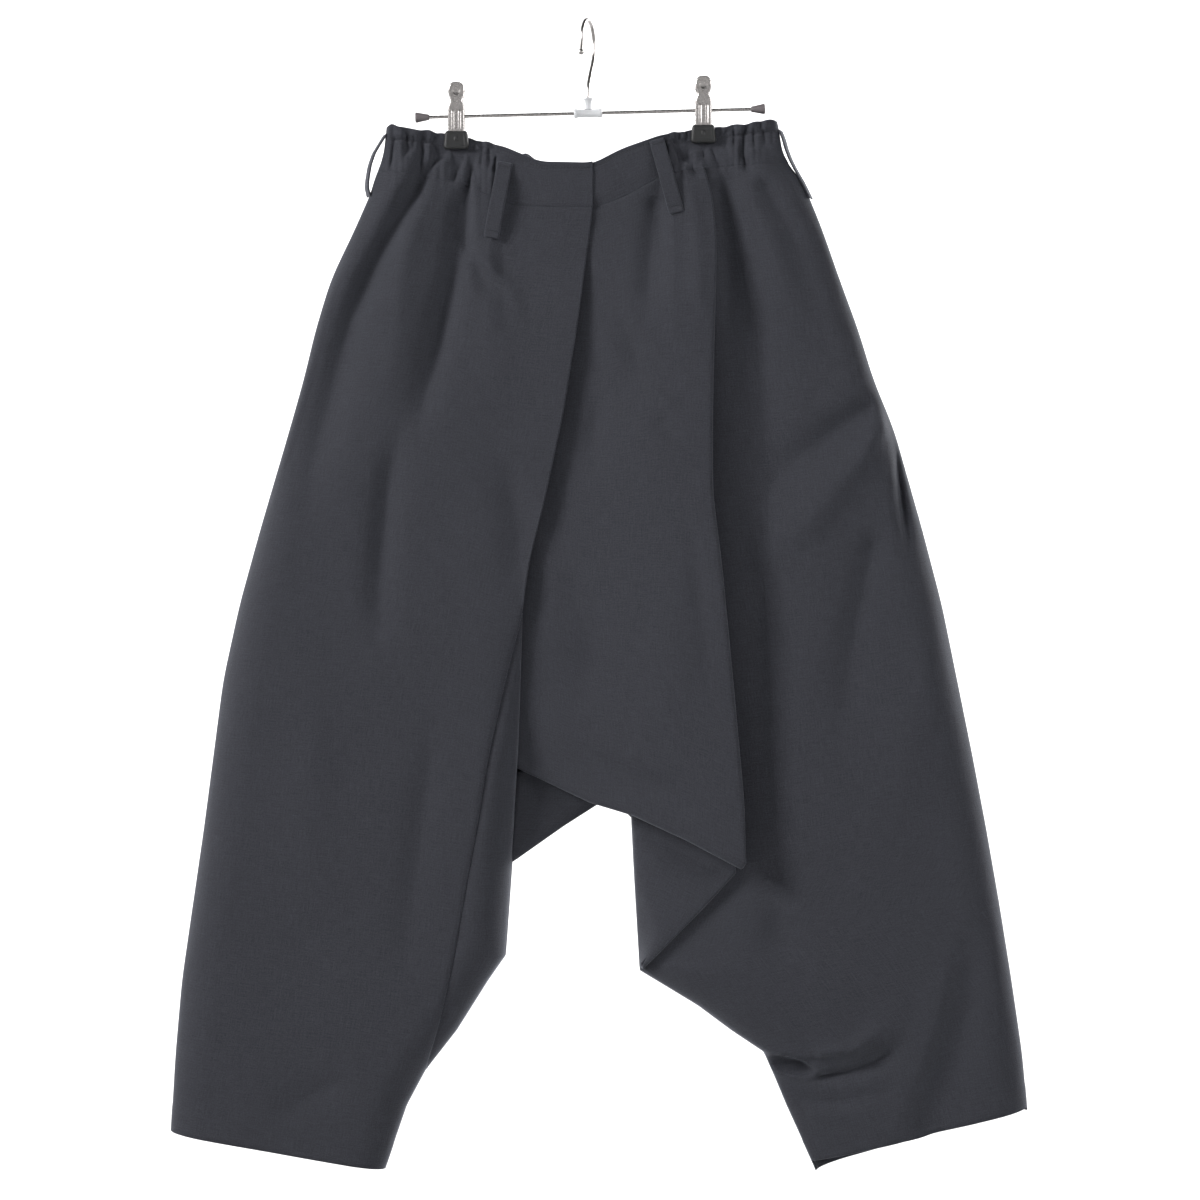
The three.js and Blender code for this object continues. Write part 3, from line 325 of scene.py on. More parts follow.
def soft(rows, key, column, at, reach):
    """The same reading, softened over a short stretch so that it has no corners."""
    steps = np.linspace(-1, 1, 9)
    weights = 1 - 0.6 * np.abs(steps)
    return sum(w * read(rows, key, column, at + s * reach) for s, w in zip(steps, weights)) / weights.sum()


def segment(x, z, x1, z1, x2, z2):
    """Distance to a line between two points, and the share along it."""
    dx, dz = x2 - x1, z2 - z1
    along = ((x - x1) * dx + (z - z1) * dz) / (dx * dx + dz * dz)
    t = np.clip(along, 0, 1)
    return np.hypot(x - x1 - t * dx, z - z1 - t * dz), along


def distance_to_line(x, z, points):
    least = np.full(np.broadcast(x, z).shape, 1e9)
    for (x1, z1), (x2, z2) in zip(points[:-1], points[1:]):
        least = np.minimum(least, segment(x, z, x1, z1, x2, z2)[0])
    return least


def line_of(rows, keep=lambda x, z: True):
    return [(x, z) for x, z in zip(rows["x"], rows["z"]) if keep(x, z)]


def below_waist(z):
    """0 in the pinched waist, rising to 1 below it."""
    return smooth((WAIST_END_Z - z) / 60)


def side_x(leg, z):
    return soft(SIDES, "z", leg, z, mix(6, 18, below_waist(z)))


def side_distance(x, z):
    """Distance in from the side seam of the nearer leg."""
    reach = []
    for name, sign in (("right", 1), ("left", -1)):
        slope = (side_x(name, z + 4) - side_x(name, z - 4)) / 8
        reach.append(sign * (x - side_x(name, z)) / np.sqrt(1 + slope ** 2))
    return np.maximum(np.where(x < 12, *reach), 0)


CROTCH_LINE = (
    line_of(RIGHT_INNER, lambda x, z: z < CROTCH_RIGHT_Z)[::-1]
    + line_of(CROTCH_RIGHT)[::-1] + line_of(LEFT_INNER)
)
LEFT_LEG_LINE = line_of(LEFT_INNER, lambda x, z: z <= -872)
FACET_EDGE_LINE = line_of(LEFT_INNER)[:3]


def band_top(x):
    return soft(BAND, "x", "top", x, 9)


def band_bottom(x):
    return soft(BAND, "x", "bottom", x, 9)


def wrap_x(z):
    return soft(WRAP, "z", "x", z, 16)


def pleat_x(z):
    return soft(PLEAT, "z", "x", z, 16)


def round_rise(distance, width):
    """A quarter-round rise from an edge to the full depth."""
    return np.sqrt(1 - (1 - np.clip(distance / width, 0, 1)) ** 2)


def at_clips(x, reach):
    return np.maximum.reduce([1 - smooth((np.abs(x - clip) - 13) / reach) for clip in CLIP_X])


def folds(x, z, creases):
    x, z = np.broadcast_arrays(x, z)
    total = np.zeros(x.shape)
    for one in creases:
        path = np.array(one["path"], float)
        reach = np.concatenate([[0], np.cumsum(np.linalg.norm(np.diff(path, axis=0), axis=1))])
        least, share = np.full(x.shape, 1e9), np.zeros(x.shape)
        for k in range(len(path) - 1):
            off, along = segment(x, z, *path[k], *path[k + 1])
            at = (reach[k] + np.clip(along, 0, 1) * (reach[k + 1] - reach[k])) / reach[-1]
            share = np.where(off < least, at, share)
            least = np.minimum(least, off)
        width = mix(one["start"], one["end"], share)
        fade = smooth((share + 0.042) / one["head"]) * smooth((1 - share) / one["tail"])
        total += one["depth"] * fade * np.exp(-((least / width) ** one["sharp"]))
    return total


def ripple(x, z, seed, size=0.5):
    """Faint unevenness of hanging cloth, from a few long waves with fixed places."""
    draw = np.random.default_rng(seed)
    total = np.zeros(np.broadcast(x, z).shape)
    for _ in range(16):
        length = draw.uniform(45, 190)
        turn = draw.normal(0.25, 0.55)
        phase = draw.uniform(0, 2 * math.pi)
        wave = (x * math.cos(turn) + z * math.sin(turn)) * 2 * math.pi / length + phase
        total += draw.uniform(0.3, 1) * size * (length / 190) * np.sin(wave)
    return total


def back_gathers(x, z):
    """Gathers of the back: fine in the band, longer and softer on the panels below."""
    below = band_bottom(x) - z
    away = 1 - at_clips(x, 12) * (1 - smooth(below / 40))
    fine = 2.2 * (1 - smooth((below + 2) / 18)) * np.sin(2 * math.pi * x / 12.5 + 1.3 * np.sin(x / 23))
    fine = fine * (0.75 + 0.25 * np.sin(x / 9.0))
    long = 4.2 * smooth((below + 45) / 70) * (1 - smooth((below - 10) / 150))
    return away * (fine + long * np.sin(2 * math.pi * x / 31 + 1.3 * np.sin(x / 41)))


def gathered(x, flat_from, flat_to):
    """1 where the waist is gathered, 0 in the flat stretch."""
    return 1 - smooth((x - flat_from) / 16 + 1) * smooth((flat_to - x) / 16 + 1)


def header_height(x):
    return mix(FLAT_HEADER, GATHERED_HEADER, gathered(x, FLAT_FROM, FLAT_TO))


def header_stitch_z(x):
    """Level of the stitching below the header."""
    return band_top(x) - header_height(x)


def ruffle(x, shift=0.0):
    """Uneven waves of the header above its stitching, from -1 to 1."""
    return np.sin(2 * math.pi * (x / 11.5 + 0.35 * np.sin(x / 17.0 + shift)) + shift)


def belly(x, z, full):
    """How far the gathered cloth swells out below the header stitching."""
    down = header_stitch_z(x) - z
    free = 1 - at_clips(x, 6) * smooth((z + 122) / 8)
    return 8 * full * free * smooth(down / 26) * (1 - smooth((down - 60) / 150))


def waist_relief(x, z, full, shift=0.0):
    """Fine puckers, header and seams of the elastic waist; full is 1 where it is gathered."""
    below = band_bottom(x) - z
    up = z - header_stitch_z(x)
    free = 1 - at_clips(x, 7) * smooth((z + 124) / 8)
    uneven = 0.6 + 0.4 * np.sin(x / 7.7 + shift)
    waves = np.sin(2 * math.pi * x / 5.7 + 2.2 * np.sin(x / 8.5 + shift))
    pucker = 0.5 * uneven * (1 - smooth((below + 6) / 26)) * waves
    stitched = 2 * np.exp(-((up / 1.5) ** 2))
    frill = -1.7 * smooth(up / 5) * ruffle(x, shift)
    seam = 0.7 * np.exp(-((below / 1.8) ** 2)) * (1 - full)
    return free * full * (pucker + frill) + (stitched * mix(0.35, 1, full) + seam) * free


def body_depth(x, z):
    """Half depth of the body before folds, at a place of its outline."""
    below = band_bottom(x) - z
    waist = PINCH + 8 * (1 - at_clips(x, 34))
    full = mix(waist, soft(DEPTH, "z", "depth", z, 40), smooth((below + 6) / 130))
    return full * round_rise(side_distance(x, z), soft(DEPTH, "z", "rounding", z, 40))


def calm(x, z, reach):
    """Folds fade out at the side seams, so that the seams keep their place."""
    return smooth(side_distance(x, z) / reach)


# Surfaces of the panels: the depth at each place of the outline

def within(relief, room):
    """Keeps a trough inside the room behind it, softly."""
    room = np.maximum(room, 0.05)
    return np.where(relief > 0, room * np.tanh(relief / room), relief)


def seam_dip(distance):
    return 0.9 * np.exp(-((distance / 2.2) ** 2))


def swell(x, z, full):
    """The belly, fading out at the side seams."""
    return belly(x, z, full) * calm(x, z, 24)


def front_face(base, relief):
    return -MIDDLE_GAP - base + within(relief, base - LEAST_ROOM)


def back_face(base, relief):
    return MIDDLE_GAP + base - within(relief, base - LEAST_ROOM)


def right_front_y(x, z):
    inner = distance_to_line(x, z, line_of(RIGHT_INNER))
    closing = soft(CLOSING, "z", "share", z, 24)
    rounded = 1 - closing * (1 - round_rise(inner, LEG_ROUNDING))
    full = gathered(x, FLAT_FROM, FAR)
    relief = folds(x, z, RIGHT_FRONT_FOLDS) + folds(x, z, RIGHT_GATHERS) + waist_relief(x, z, full)
    relief = relief + ripple(x, z, 3) * below_waist(z)
    lift = 1.6 * smooth((x + 70) / 50) * smooth((z + 560) / 60)
    relief = relief + seam_dip(np.abs(x - wrap_x(z))) * smooth((STRIP_SEAM_Z - z) / 24) * 1.4
    return front_face(body_depth(x, z) * rounded + lift + swell(x, z, full), relief * calm(x, z, EDGE_CALM))


def left_front_edge(z):
    behind_pleat = pleat_x(z) - 26
    behind_facet = read(FACET, "z", "x", z) - 12 * smooth((z - FACET_END_Z) / 50)
    hidden = mix(behind_facet, behind_pleat, smooth((z + 790) / 40))
    inner = read(LEFT_INNER, "z", "x", z)
    return np.where(z > FACET_END_Z, np.maximum(hidden, inner), inner)


def tuck(x, z):
    """Eye-shaped hollow under the fold at the inner hem, with its rolled rim."""
    dx, dz = x - TUCK["x"], z - TUCK["z"] - TUCK["tilt"] * (x - TUCK["x"])
    reach = np.hypot(dx / TUCK["half_x"], dz / TUCK["half_z"])
    hollow = TUCK["depth"] * smooth((1.12 - reach) / 0.5)
    upper = mix(0.45, 1, smooth(dz / 6 + 0.5))
    return hollow - TUCK["rim"] * upper * np.exp(-(((reach - 1.25) / 0.24) ** 2)) * smooth((dx + 24) / 12)


def left_front_y(x, z):
    inner = distance_to_line(x, z, LEFT_LEG_LINE)
    recess = mix(3.2, 11, smooth((band_bottom(x) - z) / 160))
    room = np.maximum(0, body_depth(x, z) - PINCH)
    hidden = np.minimum(recess, room) * (1 - smooth((x - left_front_edge(z)) / 85))
    full = gathered(x, -FAR, FLAT_TO)
    relief = folds(x, z, LEFT_FRONT_FOLDS) + folds(x, z, LEFT_GATHERS) + waist_relief(x, z, full, LEFT_PHASE)
    relief = relief + ripple(x, z, 11) * below_waist(z)
    base = (body_depth(x, z) - hidden) * round_rise(inner, LEG_ROUNDING) + swell(x, z, full)
    edges = calm(x, z, EDGE_CALM) * smooth(inner / 16)
    above_tuck = smooth((z + 956 - 0.2 * (x - TUCK["x"])) / 5)
    overhang = 4 * above_tuck * smooth((z + 840) / -60) * smooth((260 - x) / 60)
    return front_face(base, relief * edges + tuck(x, z)) - overhang * smooth(base / 8)


def over_left_front(x, z, gap):
    """Depth of a piece that lies over the left front, a gap before it."""
    return left_front_y(np.maximum(x, left_front_edge(z)), z) - gap


def beside_strip(z):
    return np.where(z > WRAP_TURN_Z, wrap_x(z), read(RIGHT_INNER, "z", "x", z))


def centre_start(z):
    low = beside_strip(z) - 7 * smooth((z + 740) / 80)
    return mix(low, wrap_x(z) - 26, smooth((z + 610) / 70))


def centre_y(x, z):
    start, end = centre_start(z), pleat_x(z)
    u = np.clip((x - start) / (end - start), 0, 1)
    closing = soft(CLOSING, "z", "share", z, 24)
    setback = np.maximum(soft(PLEAT, "z", "setback", z, 24), closing * body_depth(x, z) * 0.94 + HIDDEN_LAP)
    proud = soft(PLEAT, "z", "proud", z, 24)
    shape = -setback * (1 - smooth(u * 1.5)) + proud * smooth((u - 0.3) / 0.7)
    full = gathered(x, -FAR, FLAT_TO)
    relief = folds(x, z, CENTRE_FOLDS) + folds(x, z, LEFT_GATHERS) + waist_relief(x, z, full, LEFT_PHASE)
    relief = relief + ripple(x, z, 23, 0.7) * below_waist(z)
    free = front_face(body_depth(x, z) + shape + belly(x, z, full), relief)
    over_left = over_left_front(x, z, 2 * HIDDEN_LAP + 0.6)
    laid = mix(free, np.minimum(free, over_left), smooth((x - end + 40) / 20))
    beside = right_front_y(np.minimum(x, beside_strip(z)), z) + HIDDEN_LAP
    return np.where(x < beside_strip(z) + 1, np.maximum(laid, beside), laid)


def back_y(rows, seed, x, z):
    inner = distance_to_line(x, z, CROTCH_LINE)
    from_seam = np.abs(x - CENTRE_BACK)
    # Both back pieces give the same depth where the centre seam joins them
    own = (folds(x, z, rows) + ripple(x, z, seed) * below_waist(z)) * smooth(from_seam / 16)
    relief = own + back_gathers(x, z) + waist_relief(x, z, 1.0, BACK_PHASE)
    edges = calm(x, z, EDGE_CALM) * smooth(inner / 16)
    base = body_depth(x, z) * round_rise(inner, 36) + BACK_SWELL * swell(x, z, 1.0)
    return back_face(base, relief * edges + seam_dip(from_seam) * (inner > 6))


def right_back_y(x, z):
    return back_y(RIGHT_BACK_FOLDS, 31, x, z)


def left_back_y(x, z):
    return back_y(LEFT_BACK_FOLDS, 41, x, z)


# Grids of middle points

def shares(count, power):
    """Shares from 0 to 1, closer together towards both ends."""
    t = np.linspace(0, 1, count + 1)
    return np.where(t < 0.5, (2 * t) ** power / 2, 1 - (2 - 2 * t) ** power / 2)


def hem_z(hem, x):
    (x1, z1), (x2, z2) = hem
    return mix(z1, z2, (x - x1) / (x2 - x1))


def row_z(x, v, lower):
    return mix(band_bottom(x) - SEAM_PULL, lower(x), v)


def edge_points(edge_x, v, lower):
    """The point of an edge on each row."""
    z = row_z(np.zeros_like(v), v, lower)
    for _ in range(50):
        z = mix(z, row_z(edge_x(z), v, lower), 0.6)
    return edge_x(z), z


def panel_grid(rows, columns, lower, edge_a, edge_b, depth):
    """Rows of points from edge a to edge b, each at the depth of its place."""
    ax, az = edge_points(edge_a, rows, lower)
    bx, bz = edge_points(edge_b, rows, lower)
    v, u = rows[:, None], columns[None, :]
    x = mix(ax[:, None], bx[:, None], u)
    level = mix(az[:, None], bz[:, None], u)
    slack = mix(row_z(ax, rows, lower)[:, None], row_z(bx, rows, lower)[:, None], u)
    z = level + row_z(x, v, lower) - slack
    return np.stack([x, depth(x, z), z], axis=-1)


def unit(vectors):
    return vectors / np.maximum(np.linalg.norm(vectors, axis=-1, keepdims=True), 1e-9)


def curl(last, direction, radius, width, end_y, steps=8):
    """A fold's curl and hidden return, past the last point of each row."""
    points = []
    for turn in np.linspace(1 / steps, 1, steps) * math.pi:
        p = last + direction * (radius * math.sin(turn))[..., None]
        p[:, 1] += radius * (1 - math.cos(turn))
        points.append(p)
    for t in (0.25, 0.5, 0.75, 1):
        p = last - direction * (width * t)[..., None]
        p[:, 1] = mix(last[:, 1] + 2 * radius, end_y(p[:, 0], p[:, 2]), smooth(t))
        points.append(p)
    return np.stack(points, axis=1)


# Meshes

def mesh_object(name, points, faces, uv=None):
    mesh = bpy.data.meshes.new(name)
    mesh.from_pydata((np.asarray(points) * MM).tolist(), [], faces)
    mesh.polygons.foreach_set("use_smooth", np.ones(len(mesh.polygons), bool))
    if uv is not None:
        corner = np.empty(len(mesh.loops), dtype=np.int64)
        mesh.loops.foreach_get("vertex_index", corner)
        layer = mesh.uv_layers.new(name="cut")
        layer.data.foreach_set("uv", np.asarray(uv)[corner].ravel())
    mesh.validate()
    mesh.update()
    piece = bpy.data.objects.new(name, mesh)
    bpy.context.scene.collection.objects.link(piece)
    return piece


def cut_map(grid):
    """Places on the flat cut, in metres: along each row, and down the middle column."""
    rows, columns = grid.shape[:2]
    middle = columns // 2
    across = np.zeros((rows, columns))
    across[:, 1:] = np.cumsum(np.linalg.norm(np.diff(grid, axis=1), axis=-1), axis=1)
    across -= across[:, middle:middle + 1]
    down = np.zeros(rows)
    down[1:] = np.cumsum(np.linalg.norm(np.diff(grid[:, middle], axis=0), axis=-1))
    return np.stack([across, np.broadcast_to(down[:, None], across.shape)], axis=-1) * MM


def cloth(name, grid, front, thickness=CLOTH_WALL):
    """A closed wall of cloth over a grid of middle points, with rounded edges."""
    rows, columns = grid.shape[:2]
    across, down = np.gradient(grid, axis=1), np.gradient(grid, axis=0)
    normal = unit(np.cross(across, down)) * (-1 if front else 1)
    half = np.broadcast_to(np.asarray(thickness, float), (rows, columns))[..., None] / 2
    index = np.arange(rows * columns).reshape(rows, columns)
    loop = np.concatenate([index[0, :-1], index[:-1, -1], index[-1, :0:-1], index[:0:-1, 0]])
    outward = np.zeros_like(grid)
    outward[0] -= unit(down[0])
    outward[-1] += unit(down[-1])
    outward[:, 0] -= unit(across[:, 0])
    outward[:, -1] += unit(across[:, -1])
    flat = grid.reshape(-1, 3)
    rim = flat[loop] + unit(outward.reshape(-1, 3)[loop]) * half.reshape(-1, 1)[loop] * 0.8
    wall = normal * half
    points = np.concatenate([(grid + wall).reshape(-1, 3), (grid - wall).reshape(-1, 3), rim])
    a, b, c, d = index[:-1, :-1], index[:-1, 1:], index[1:, 1:], index[1:, :-1]
    outer = np.stack([a, b, c, d], axis=-1).reshape(-1, 4)
    inner = outer[:, ::-1] + rows * columns
    step = np.arange(len(loop))
    after = (step + 1) % len(loop)
    ring = 2 * rows * columns + step
    ring_after = 2 * rows * columns + after
    edge_outer = np.stack([loop[after], loop, ring, ring_after], axis=-1)
    edge_inner = np.stack([ring_after, ring, loop + rows * columns, loop[after] + rows * columns], axis=-1)
    faces = np.concatenate([outer, inner, edge_outer, edge_inner])
    if front:
        faces = faces[:, ::-1]
    uv = cut_map(grid).reshape(-1, 2)
    return mesh_object(name, points, faces.tolist(), np.concatenate([uv, uv, uv[loop]]))


# Materials

def add_node(tree, kind, *given, **values):
    """A node with its first inputs, settings and named inputs; a value that is a socket is linked."""
    made = tree.nodes.new(kind)
    sockets = list(zip(made.inputs, given))
    for key, value in values.items():
        if hasattr(made, key):
            setattr(made, key, value)
        else:
            sockets.append((made.inputs[key.replace("_", " ")], value))
    for socket, value in sockets:
        if isinstance(value, bpy.types.NodeSocket):
            tree.links.new(value, socket)
        else:
            socket.default_value = value
    return made


class Finish:
    """A material, with short ways to add nodes and set its shader."""

    def __init__(self, name):
        self.material = bpy.data.materials.new(name)
        self.material.use_nodes = True
        self.tree = self.material.node_tree
        self.shader = next(n for n in self.tree.nodes if n.type == "BSDF_PRINCIPLED")

    def node(self, kind, *given, **values):
        return add_node(self.tree, kind, *given, **values)

    def link(self, out, name):
        self.tree.links.new(out, self.shader.inputs[name])

    def values(self, **values):
        for key, value in values.items():
            self.shader.inputs[key.replace("_", " ")].default_value = value

    def object_noise(self, scale, detail, roughness=0.5):
        place = self.node("ShaderNodeTexCoord").outputs["Object"]
        noise = self.node("ShaderNodeTexNoise", Vector=place, Scale=scale, Detail=detail, Roughness=roughness)
        return noise.outputs["Fac"]

    def two_tone(self, factor, dark, light, start=0.0, end=1.0):
        """Colours the surface between two tones."""
        ramp = self.node("ShaderNodeValToRGB", Fac=factor)
        for k, (colour, position) in enumerate(((dark, start), (light, end))):
            ramp.color_ramp.elements[k].position = position
            ramp.color_ramp.elements[k].color = (*colour, 1)
        self.link(ramp.outputs["Color"], "Base Color")

    def uneven_gloss(self, noise, low, high):
        gloss = self.node("ShaderNodeMapRange", Value=noise, To_Min=low, To_Max=high)
        self.link(gloss.outputs["Result"], "Roughness")

    def relief(self, height, strength, distance):
        bump = self.node("ShaderNodeBump", Strength=strength, Distance=distance, Height=height)
        self.link(bump.outputs["Normal"], "Normal")


def tone(colour, share):
    return tuple(c * share for c in colour)


def thread_noise(made, place, along, across):
    """Noise drawn out along one thread direction, in threads per metre."""
    mapping = made.node("ShaderNodeMapping", Vector=place, Scale=(across, along, 1))
    noise = made.node(
        "ShaderNodeTexNoise", Vector=mapping.outputs["Vector"], Scale=1.0, Detail=3.0, Roughness=0.6,
    )
    return noise.outputs["Fac"]


def cloth_material(name, colour):
    """Fine matt weave: slubs along both threads, a faint bloom of lighter fibre, and thread relief."""
    made = Finish(name)
    place = made.node("ShaderNodeUVMap", uv_map="cut").outputs["UV"]
    warp = thread_noise(made, place, SLUB, THREADS)
    weft = thread_noise(made, place, THREADS, SLUB)
    crossed = made.node("ShaderNodeMath", warp, weft, operation="ADD").outputs[0]
    broad = thread_noise(made, place, BLOOM, BLOOM)
    shade = made.node("ShaderNodeMath", crossed, 0.75, broad, operation="MULTIPLY_ADD").outputs[0]
    spread = made.node("ShaderNodeMapRange", Value=shade, From_Min=0.85, From_Max=1.65).outputs["Result"]
    made.two_tone(spread, tone(colour, 0.74), tone(colour, 1.34), 0.15, 0.85)
    made.relief(crossed, 0.55, 0.00035)
    made.values(Roughness=0.9, Sheen_Weight=0.22, Sheen_Roughness=0.4, Specular_IOR_Level=0.25)
    made.values(Sheen_Tint=(0.72, 0.76, 0.88, 1))
    return made.material


def metal_material():
    """Bright plated steel with faint wear in its gloss."""
    made = Finish("plated_steel")
    made.uneven_gloss(made.object_noise(380.0, 4.0, 0.6), 0.16, 0.36)
    made.values(Base_Color=(*STEEL_COLOUR, 1), Metallic=1.0)
    return made.material


def moulded_material(name, colour, low, high, bump_depth, transmission=0.0, shine=0.5):
    """Moulded plastic or rubber: uneven gloss and a fine pebble."""
    made = Finish(name)
    noise = made.object_noise(900.0, 5.0, 0.7)
    made.uneven_gloss(noise, low, high)
    made.two_tone(noise, tone(colour, 0.85), tone(colour, 1.15))
    made.relief(noise, 0.4, bump_depth)
    made.values(Transmission_Weight=transmission, Specular_IOR_Level=shine)
    return made.material


CLOTH = cloth_material("charcoal_weave", CLOTH_COLOUR)
THREAD = cloth_material("sewing_thread", THREAD_COLOUR)
STEEL = metal_material()
CAP = moulded_material("cap_plastic", CAP_COLOUR, 0.35, 0.6, 0.00005)
CLEAR = moulded_material("clear_plastic", CLEAR_COLOUR, 0.12, 0.3, 0.00002, 0.35)
RUBBER = moulded_material("pad_rubber", RUBBER_COLOUR, 0.4, 0.65, 0.00006, shine=0.35)


# Pieces

HEM_ALLOWANCE, HEM_DOUBLED = 24.0, 0.75
LEG_LENGTH = 0.9


def hem_wall(grid):
    """Wall of each row: thicker where the hem is turned up inside."""
    middle = grid[:, grid.shape[1] // 2]
    from_hem = np.concatenate([np.cumsum(np.linalg.norm(np.diff(middle, axis=0), axis=1)[::-1])[::-1], [0]])
    wall = CLOTH_WALL + HEM_DOUBLED * smooth((HEM_ALLOWANCE - from_hem) / 3)
    return np.broadcast_to(wall[:, None], grid.shape[:2])


def finish_cloth(piece, node):
    piece.data.materials.append(CLOTH)
    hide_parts(node)
    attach(piece, "root")


def finish_part(piece, material, slot, *nodes):
    piece.data.materials.append(material)
    if nodes:
        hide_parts(*nodes)
    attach(piece, "root")


def rows_for(count, *dense):
    """Row shares from 0 to 1, closer together around each (place, spread, gain)."""
    t = np.linspace(0, 1, 2001)
    density = np.ones_like(t)
    for place, spread, gain in dense:
        density += gain * np.exp(-(((t - place) / spread) ** 2))
    reach = np.concatenate([[0], np.cumsum((density[1:] + density[:-1]) / 2)])
    return np.interp(np.linspace(0, 1, count), reach / reach[-1], t)


PANEL_ROWS = rows_for(215, (0, 0.07, 1.3))
TUCK_ROWS = rows_for(225, (0, 0.07, 1.1), (0.92, 0.03, 1.8))
PANEL_COLUMNS = shares(108, 1.15)


def side_of(leg):
    return lambda z: side_x(leg, z)


def hem_of(name):
    return lambda x: hem_z(HEMS[name], x)


def wrap_edge(z):
    return np.where(z > WRAP_END_Z, wrap_x(z) - SEAM_PULL, read(RIGHT_INNER, "z", "x", z))


def back_right_edge(z):
    low = np.where(z > CROTCH_RIGHT_Z, read(CROTCH_RIGHT, "z", "x", z), read(RIGHT_INNER, "z", "x", z))
    return np.where(z > CROTCH_Z, CENTRE_BACK - SEAM_PULL, low)


def back_left_edge(z):
    drawn_in = mix(CROTCH_MIDDLE_X, CROTCH_LEFT_X, (CROTCH_Z - z) / (CROTCH_Z - CROTCH_LEFT_Z))
    low = np.where(z > CROTCH_LEFT_Z, drawn_in, read(LEFT_INNER, "z", "x", z))
    return np.where(z > CROTCH_Z, CENTRE_BACK + SEAM_PULL, low)


front_right = panel_grid(
    PANEL_ROWS, shares(108, 1.18), hem_of("right"), side_of("right"), wrap_edge, right_front_y,
)
front_left = panel_grid(
    TUCK_ROWS, PANEL_COLUMNS, hem_of("left_front"), left_front_edge, side_of("left"), left_front_y,
)
back_right = panel_grid(
    PANEL_ROWS, PANEL_COLUMNS, hem_of("right"), side_of("right"), back_right_edge, right_back_y,
)
back_left = panel_grid(
    PANEL_ROWS, PANEL_COLUMNS, hem_of("left_back"), back_left_edge, side_of("left"), left_back_y,
)

strip_z = np.linspace(STRIP_TOP_Z, STRIP_END_Z, 130)[:, None]
strip_u = np.linspace(0, 1, 17)[None, :] ** 0.7
strip_x = mix(
    wrap_x(strip_z) - 2.2,
    np.maximum(read(RIGHT_INNER, "z", "x", strip_z), wrap_x(strip_z) + 0.5), strip_u,
)
strip_depth = 1.9 - 1.1 * smooth((strip_x - wrap_x(strip_z) - 1) / 8)
strip_y = right_front_y(strip_x, strip_z) + strip_depth
inner_right = np.stack([strip_x, strip_y, strip_z + 0 * strip_x], axis=-1)

# Centre panel: main sheet, the pleat's curl and return, then the rolled lower edge
PLEAT_ACROSS = np.array([1.0, 0, 0])


def pleat_measure(z, above, below, reach, left_over):
    """Grows below the waist, and shrinks towards the rolled edge to a share that is left over."""
    return mix(above, below, smooth((-z - 170) / reach)) * mix(1, left_over, smooth((-z - 690) / 70))


def pleat_radius(z):
    return pleat_measure(z, 1.1, 3.4, 160, 0.45)


def pleat_width(z):
    return pleat_measure(z, 12, 24, 120, 0.3)


centre_main = panel_grid(
    rows_for(190, (0, 0.09, 1.0)), np.linspace(0, 1, 80), lambda x: read(ROLL, "x", "z", x), centre_start,
    lambda z: pleat_x(z) - pleat_radius(z), centre_y,
)
centre_last = centre_main[:, -1]
last_z = centre_last[:, 2]


def behind_pleat(x, z):
    tight = smooth((-z - 680) / 60)
    return mix(over_left_front(x, z, HIDDEN_LAP + 0.3), centre_last[:, 1] + 2 * pleat_radius(last_z), tight)


pleat_return = curl(centre_last, PLEAT_ACROSS, pleat_radius(last_z), pleat_width(last_z), behind_pleat)
centre_folded = np.concatenate([centre_main, pleat_return], axis=1)
lower_edge = centre_folded[-1]
under_return = np.full(pleat_return.shape[1], centre_last[-1, 1])
lower_front_y = np.concatenate([centre_main[-1, :, 1], under_return])
ROLL_DOWN = unit(np.array([-0.42, 0, -0.91]))
RETURN_UP = unit(np.array([-0.12, 0, 1]))


def rolled_row(turn, back):
    radius = read(ROLL, "x", "radius", lower_edge[:, 0])
    own = np.maximum(radius - (lower_edge[:, 1] - lower_front_y), 0.4)
    row = lower_edge + ROLL_DOWN * (own * math.sin(turn * math.pi))[:, None] + RETURN_UP * back
    row[:, 1] += own * (1 - math.cos(turn * math.pi))
    return row


rolled = [rolled_row(turn, 0) for turn in np.linspace(0.1, 1, 10)]
rolled += [rolled_row(1, back) for back in (3, 6, 9)]
front_centre = np.concatenate([centre_folded, np.stack(rolled)], axis=0)

# Inner facet with its diagonal fold
FACET_ACROSS = unit(np.array([0.68, 0, -0.73]))
FACET_INNER_TOP_Z, FACET_OUTER_TOP_Z, FACET_FOOT_Z = -724, -766, -869


def facet_grid():
    v = np.linspace(0, 1, 70)[:, None]
    u = np.linspace(0, 1, 50)[None, :]
    az, bz = mix(FACET_INNER_TOP_Z, FACET_FOOT_Z, v), mix(FACET_OUTER_TOP_Z, FACET_FOOT_Z, v)
    ax, bx = read(LEFT_INNER, "z", "x", az), read(FACET, "z", "x", bz) - mix(6, 2, v)
    x = mix(ax, bx, u)
    z = mix(az, bz, u) + 5 * (1 - v) ** 2 * np.sin(math.pi * u)
    inner = 17 * round_rise(distance_to_line(x, z, FACET_EDGE_LINE), 30)
    edge = -over_left_front(x, z, mix(9, 5, v))
    relief = folds(x, z, FACET_FOLDS) * smooth(u / 0.1) * smooth((1 - u) / 0.08)
    main = np.stack([x, -MIDDLE_GAP - mix(inner, edge, smooth(u)) + relief, z], axis=-1)
    radius, width = mix(3.4, 1.2, v[:, 0]), mix(9, 3, v[:, 0])

    def behind(px, pz):
        return over_left_front(px, pz, HIDDEN_LAP + 0.5)

    return np.concatenate([main, curl(main[:, -1], FACET_ACROSS, radius, width, behind)], axis=1)


inner_left = facet_grid()

